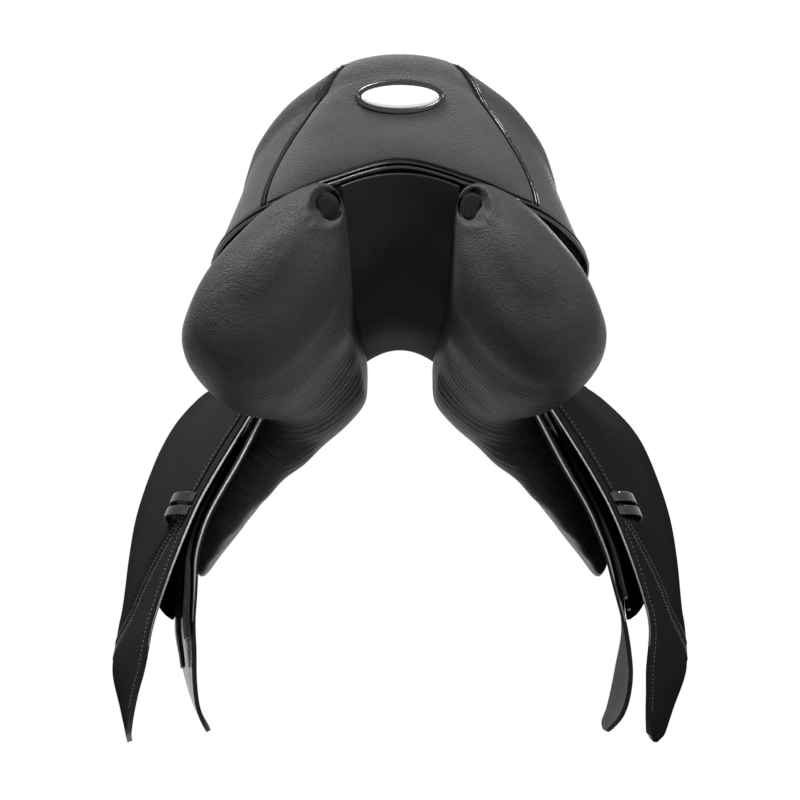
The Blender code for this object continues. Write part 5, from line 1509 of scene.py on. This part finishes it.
def make_flaps(sizes):
    for word, side in SIDES.items():
        outward = Vector((side, 0, 0))
        body = "flap_body_" + word
        whole = flap_row(word)
        piece = hide_sheet("flap_leather_" + word, lambda u, v: on_side(whole(u, v), side), FLAP_FACES,
                           FLAP_LEATHER, ["flap", "plain", "dark_cut"], None,
                           ["flap_" + word, "flap_top_" + word], outward, rounding=sizes.edge_round)
        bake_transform(piece)

        # The pale cord along the rear edge is a painted highlight on the rubbed edge, fading lower down as
        # painted shade.
        line = []
        for drop in spaced(*FLAP_EDGE_DROPS, 100):
            rim = flap_share_point(word, 0.0, drop, -0.8 * FLAP_LEATHER)
            line.append(on_side(rim - Vector((0, GAP, 0)), side))
        round_cord("flap_edge_" + word, line, FLAP_EDGE_RADIUS, "cut", body)

        def grip(u, v, word=word):
            share = lerp(GRIP_INSET, 1 - GRIP_INSET, u)
            pressed = ease((1.0 - v) / 0.10) * ease(u / 0.05)
            puff = GRIP_PUFF * math.sin(math.pi * min(1.0, max(0.0, v))) ** 0.4
            drop = lerp(GRIP_TOP, along(GRIP_SEAM, share), v)
            return flap_share_point(word, share, drop, lerp(0.0011, SWEAT_LEATHER, pressed) + puff)

        hide_sheet("grip_leather_" + word, lambda u, v: on_side(grip(u, v), side), (FLAP_FACES[0], 60),
                   GRIP_LEATHER, ["grip", "plain", "dark_cut"], body, ["flap_grip_" + word], outward,
                   rounding=sizes.edge_round)

        def flap_line(share, drop):
            point = flap_share_point(word, share, drop, 0.0002)
            ahead = flap_share_point(word, share, drop, 0.0012)
            return on_side(point, side), (on_side(ahead, side) - on_side(point, side)).normalized()

        def beside_seam(shift):
            return [flap_line(share, along(GRIP_SEAM, share) + shift) for share in spaced(0.02, 0.98, 100)]

        def beside_rear(shift, low, high):
            path = []
            for drop in spaced(low, high, 80):
                width = flap_edge_y(FLAP_FRONT_Y, drop) - flap_edge_y(FLAP_REAR_Y, drop)
                path.append(flap_line(shift / width, drop))
            return path

        paths = [beside_seam(shift) for shift in GRIP_SEAMS]
        paths.append(beside_rear(sizes.seam_inset, *FLAP_SEAM_DROPS))
        sew("flap_seam_" + word, paths, sizes, body)

        def grip_path(inset):
            right = Vector((1, 0, 0))
            line = surface_path(grip, lambda t: (lerp(0.02, 0.98, t), 1 - inset), 100, right)
            rear = surface_path(grip, lambda t: (0.4 * inset, lerp(0.05, 0.96, t)), 80, right)
            return [[(on_side(p, side), on_side(n, side)) for p, n in path] for path in (line, rear)]

        sew("grip_seam_" + word, grip_path(GRIP_SEAM_INSET), sizes, body)
        make_keeper(word, side, body)


def make_keeper(word, side, body):
    """Two narrow loops, one over the other, over the grip's seam near the flap's rear edge."""
    on_grip = CURVE_GAP + GRIP_LEATHER + SEWN_GAP
    middle = sum(KEEPER_SHARES) / 2
    reach = (KEEPER_SHARES[1] - KEEPER_SHARES[0]) / 2
    for place, shift in (("upper", -KEEPER_SHIFT), ("lower", KEEPER_SHIFT)):
        def loop(turn, wide):
            angle = math.pi * (1 - turn)
            drop = KEEPER_DROP + shift + KEEPER_STRAP * (wide - 0.5) + KEEPER_SLANT * (turn - 0.5)
            share = middle + reach * math.cos(angle)
            lift = lerp(0.0, on_grip, turn) + max(0.0, math.sin(angle)) ** 0.8 * KEEPER_HEIGHT
            return on_side(flap_share_point(word, share, drop, lift), side)

        hide_sheet("keeper_" + place + "_" + word + "_loop", loop, (36, 6), KEEPER_LEATHER,
                   ["patent", "plain", "dark_cut"], body, ["keeper_" + word] if place == "upper" else (),
                   Vector((side, 0, 0)), rounding=KEEPER_ROUNDING)


def make_skirts(sizes):
    for word, side in SIDES.items():
        def skirt(along_y, down):
            y = lerp(SKIRT_REAR_Y, SKIRT_FRONT_Y, along_y)
            top = straight_edge(y) + Vector((SKIRT_STAND, 0, 0.0005))
            low = bend_point(y) + flap_fall(y) * SKIRT_END
            from_end = min(y - SKIRT_REAR_Y, SKIRT_FRONT_Y - y)
            corner = 1 - math.sqrt(max(0.0, 1 - (1 - min(1.0, max(0.0, from_end) / SKIRT_CORNER)) ** 2))
            share = down * (0.93 - 0.45 * corner)
            bulge = SKIRT_BULGE * math.sin(math.pi * min(1.0, max(0.0, share))) ** 0.8
            return on_side(top.lerp(low, share) + flap_fall(y) * bulge, side)

        body = "skirt_body_" + word
        # The skirt's cut edge takes the pale cut finish, a painted highlight.
        hide_sheet("skirt_leather_" + word, skirt, (60, 26), SKIRT_LEATHER, ["flap", "plain", "cut"], body,
                   ["skirt_" + word], Vector((side, 0, 0)), offset=0.0)
        outward = Vector((side, 0, 0.3))
        line = surface_path(skirt, lambda t: (lerp(0.02, 0.98, t), SKIRT_SEAM_SHARE), 90, outward)
        stitched = [(point + normal * (SKIRT_LEATHER / 2), normal) for point, normal in line]
        sew("skirt_seam_" + word, [stitched], sizes, body)


def make_straps():
    for word, side in SIDES.items():
        for place in GIRTH_WEB_Y:
            end_z = BILLET_END_Z[(word, place)]
            middle = GIRTH_WEB_Y[place]
            lean = billet_lean(word, middle, end_z)

            def strap(across, down, word=word):
                z = lerp(BILLET_TOP_Z, end_z, down)
                drop = BILLET_TOP_Z - z
                round_off = max(0.0, 1 - (drop + 0.001) / BILLET_PIVOT)
                width = BILLET_WIDTH * math.sqrt(1 - round_off ** 2)
                y = middle - lean * drop + (across - 0.5) * width
                stand = lerp(BILLET_STAND_TOP, BILLET_STAND_LOW, ease(down))
                return on_side(sweat_point(word, y, z, SWEAT_LEATHER / 2 + stand + BILLET_LEATHER / 2), side)

            hide_sheet("girth_strap_" + place + "_" + word, strap, (8, 72), BILLET_LEATHER,
                       ["strap", "plain", "dark_cut"], "billet_" + place + "_body_" + word,
                       ["billet_" + place + "_" + word], Vector((side, 0, 0)), offset=0.0,
                       size=(BILLET_WIDTH, BILLET_TOP_Z - end_z))


def make_inside():
    """Wood, steel, foam and webbing under the leather."""
    cushion = node_copy("seat_cushion", "seat_foam", "foam", "saddle")
    for node in ("seat_web", "girth_web_front", "girth_web_rear"):
        node_copy(node + "_strap", node, "webbing", "saddle", smooth=False)
    finishes = {"tree": "wood", "head_plate": "steel"}
    for word in SIDES:
        for node in ("spring_steel", "stirrup_bar", "safety_catch", "dee_staple", "dee_ring",
                     "keeper_rivet_upper", "keeper_rivet_lower"):
            finishes[node + "_" + word] = "steel"
    for node, finish in finishes.items():
        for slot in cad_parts[node].material_slots:
            slot.material = MATERIALS[finish]


def make_stage(colours):
    scene = bpy.context.scene
    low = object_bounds()[0][2]
    bm = bmesh.new()
    bmesh.ops.create_grid(bm, x_segments=2, y_segments=2, size=6.0)
    bmesh.ops.translate(bm, vec=Vector((0, 0, low - FLOOR_DROP)), verts=bm.verts)
    mesh = bpy.data.meshes.new("studio_floor")
    bm.to_mesh(mesh)
    bm.free()
    paper = Finish("studio floor", colours.floor, 0.9)
    shown = paper.seen_white()
    tint = paper.blend(shown, tone(colours.floor, FLOOR_BOUNCE), paper.shade(paper.noise(3.0), 0.995, 1.005))
    spot = paper.add("ShaderNodeSeparateXYZ", Vector=paper.place).outputs
    far = paper.remap(paper.reach(spot["X"], spot["Y"]), *FLOOR_FADE, 0.0, 1.0, True)
    paper.fill(paper.shader.inputs["Emission Color"], WHITE)
    paper.fill(paper.shader.inputs["Emission Strength"], paper.times(far, shown))
    grit = paper.bump(paper.noise(400.0), 0.0001)
    mesh.materials.append(paper.finish(paper.blend(far, tint, BLACK), None, grit))
    floor = bpy.data.objects.new("studio_floor", mesh)
    scene.collection.objects.link(floor)
    floor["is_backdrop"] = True

    world = bpy.data.worlds.new("studio")
    scene.world = world
    world.use_nodes = True
    world.node_tree.nodes.clear()
    sky = Nodes(world.node_tree)
    fill = sky.add("ShaderNodeBackground", Color=WHITE, Strength=WORLD_FILL)
    white = sky.add("ShaderNodeBackground", Color=WHITE, Strength=1.0)
    mixed = sky.feed(sky.add("ShaderNodeMixShader"), sky.seen_white(), fill.outputs[0], white.outputs[0])
    sky.add("ShaderNodeOutputWorld", Surface=mixed)

    for name, place, aim, size, watts in LAMPS:
        lamp = bpy.data.lights.new(name, "AREA")
        lamp.size = size
        lamp.energy = watts
        item = bpy.data.objects.new(name, lamp)
        item.location = place
        item.rotation_euler = (Vector(aim) - Vector(place)).to_track_quat("-Z", "Y").to_euler()
        scene.collection.objects.link(item)

    camera = bpy.data.cameras.new("photo_camera")
    camera.lens_unit = "FOV"
    camera.angle = 2 * math.atan(PHOTO_PIXELS / 2 / PHOTO_FOCAL_PIXELS)
    eye = bpy.data.objects.new("photo_camera", camera)
    eye.location = CAMERA_PLACE
    eye.rotation_euler = (math.radians(90 + CAMERA_LOOKS_UP), 0, 0)
    scene.collection.objects.link(eye)
    scene.camera = eye
    scene.view_settings.view_transform = "Standard"


class SADDLE_OT_stage(bpy.types.Operator):
    """Makes the floor, lights and camera"""
    bl_idname = "saddle.stage"
    bl_label = "Stage"
    bl_options = {"REGISTER", "UNDO"}

    def execute(self, context):
        make_stage(context.scene.saddle_colours)
        return {"FINISHED"}


class SADDLE_OT_materials(bpy.types.Operator):
    """Makes the leathers, felt, wood and metals"""
    bl_idname = "saddle.materials"
    bl_label = "Materials"
    bl_options = {"REGISTER", "UNDO"}

    def execute(self, context):
        make_materials(context.scene.saddle_sizes, context.scene.saddle_colours)
        return {"FINISHED"}


class SADDLE_OT_seat(bpy.types.Operator):
    """Makes the seat leather with its welts"""
    bl_idname = "saddle.seat"
    bl_label = "Seat"
    bl_options = {"REGISTER", "UNDO"}

    def execute(self, context):
        make_seat(context.scene.saddle_sizes)
        return {"FINISHED"}


class SADDLE_OT_seat_back(bpy.types.Operator):
    """Makes the back of the seat, its welts and facing"""
    bl_idname = "saddle.seat_back"
    bl_label = "Seat Back"
    bl_options = {"REGISTER", "UNDO"}

    def execute(self, context):
        make_seat_back(context.scene.saddle_sizes)
        return {"FINISHED"}


class SADDLE_OT_badge(bpy.types.Operator):
    """Makes the bare oval plate in its surround"""
    bl_idname = "saddle.badge"
    bl_label = "Badge"
    bl_options = {"REGISTER", "UNDO"}

    def execute(self, context):
        make_badge(context.scene.saddle_sizes)
        return {"FINISHED"}


class SADDLE_OT_panels(bpy.types.Operator):
    """Makes the flocked panels and their felt plugs"""
    bl_idname = "saddle.panels"
    bl_label = "Panels"
    bl_options = {"REGISTER", "UNDO"}

    def execute(self, context):
        make_panels()
        return {"FINISHED"}


class SADDLE_OT_lining(bpy.types.Operator):
    """Makes the lining of the channel and the facing of the pommel"""
    bl_idname = "saddle.lining"
    bl_label = "Gullet Lining"
    bl_options = {"REGISTER", "UNDO"}

    def execute(self, context):
        make_lining()
        return {"FINISHED"}


class SADDLE_OT_sweat_flaps(bpy.types.Operator):
    """Makes the sweat flaps and knee blocks"""
    bl_idname = "saddle.sweat_flaps"
    bl_label = "Sweat Flaps"
    bl_options = {"REGISTER", "UNDO"}

    def execute(self, context):
        make_sweat_flaps()
        return {"FINISHED"}


class SADDLE_OT_flaps(bpy.types.Operator):
    """Makes the outer flaps, grips and keepers"""
    bl_idname = "saddle.flaps"
    bl_label = "Flaps"
    bl_options = {"REGISTER", "UNDO"}

    def execute(self, context):
        make_flaps(context.scene.saddle_sizes)
        return {"FINISHED"}


class SADDLE_OT_skirts(bpy.types.Operator):
    """Makes the skirts over the stirrup bars"""
    bl_idname = "saddle.skirts"
    bl_label = "Skirts"
    bl_options = {"REGISTER", "UNDO"}

    def execute(self, context):
        make_skirts(context.scene.saddle_sizes)
        return {"FINISHED"}


class SADDLE_OT_straps(bpy.types.Operator):
    """Makes the girth straps"""
    bl_idname = "saddle.straps"
    bl_label = "Girth Straps"
    bl_options = {"REGISTER", "UNDO"}

    def execute(self, context):
        make_straps()
        return {"FINISHED"}


class SADDLE_OT_inside(bpy.types.Operator):
    """Finishes the tree, foam, webbing and steel"""
    bl_idname = "saddle.inside"
    bl_label = "Inside"
    bl_options = {"REGISTER", "UNDO"}

    def execute(self, context):
        make_inside()
        return {"FINISHED"}


STEPS = (
    SADDLE_OT_stage, SADDLE_OT_materials, SADDLE_OT_seat, SADDLE_OT_seat_back,
    SADDLE_OT_badge, SADDLE_OT_panels, SADDLE_OT_lining, SADDLE_OT_sweat_flaps,
    SADDLE_OT_flaps, SADDLE_OT_skirts, SADDLE_OT_straps, SADDLE_OT_inside,
)


class SADDLE_PT_build(bpy.types.Panel):
    """Sizes, colours and steps of the saddle"""
    bl_idname = "SADDLE_PT_build"
    bl_label = "Dressage Saddle"
    bl_space_type = "VIEW_3D"
    bl_region_type = "UI"
    bl_category = "Saddle"

    def draw(self, context):
        layout = self.layout
        for group in (context.scene.saddle_sizes, context.scene.saddle_colours):
            column = layout.column(align=True)
            for name in group.__annotations__:
                column.prop(group, name)
        for step in STEPS:
            layout.operator(step.bl_idname)


CLASSES = (SaddleSizes, SaddleColours, *STEPS, SADDLE_PT_build)


def register():
    for item in CLASSES:
        bpy.utils.register_class(item)
    bpy.types.Scene.saddle_sizes = bpy.props.PointerProperty(type=SaddleSizes)
    bpy.types.Scene.saddle_colours = bpy.props.PointerProperty(type=SaddleColours)


def unregister():
    del bpy.types.Scene.saddle_colours
    del bpy.types.Scene.saddle_sizes
    for item in reversed(CLASSES):
        bpy.utils.unregister_class(item)


def main():
    register()
    for step in STEPS:
        group, name = step.bl_idname.split(".")
        getattr(getattr(bpy.ops, group), name)()


if __name__ == "__main__":
    main()
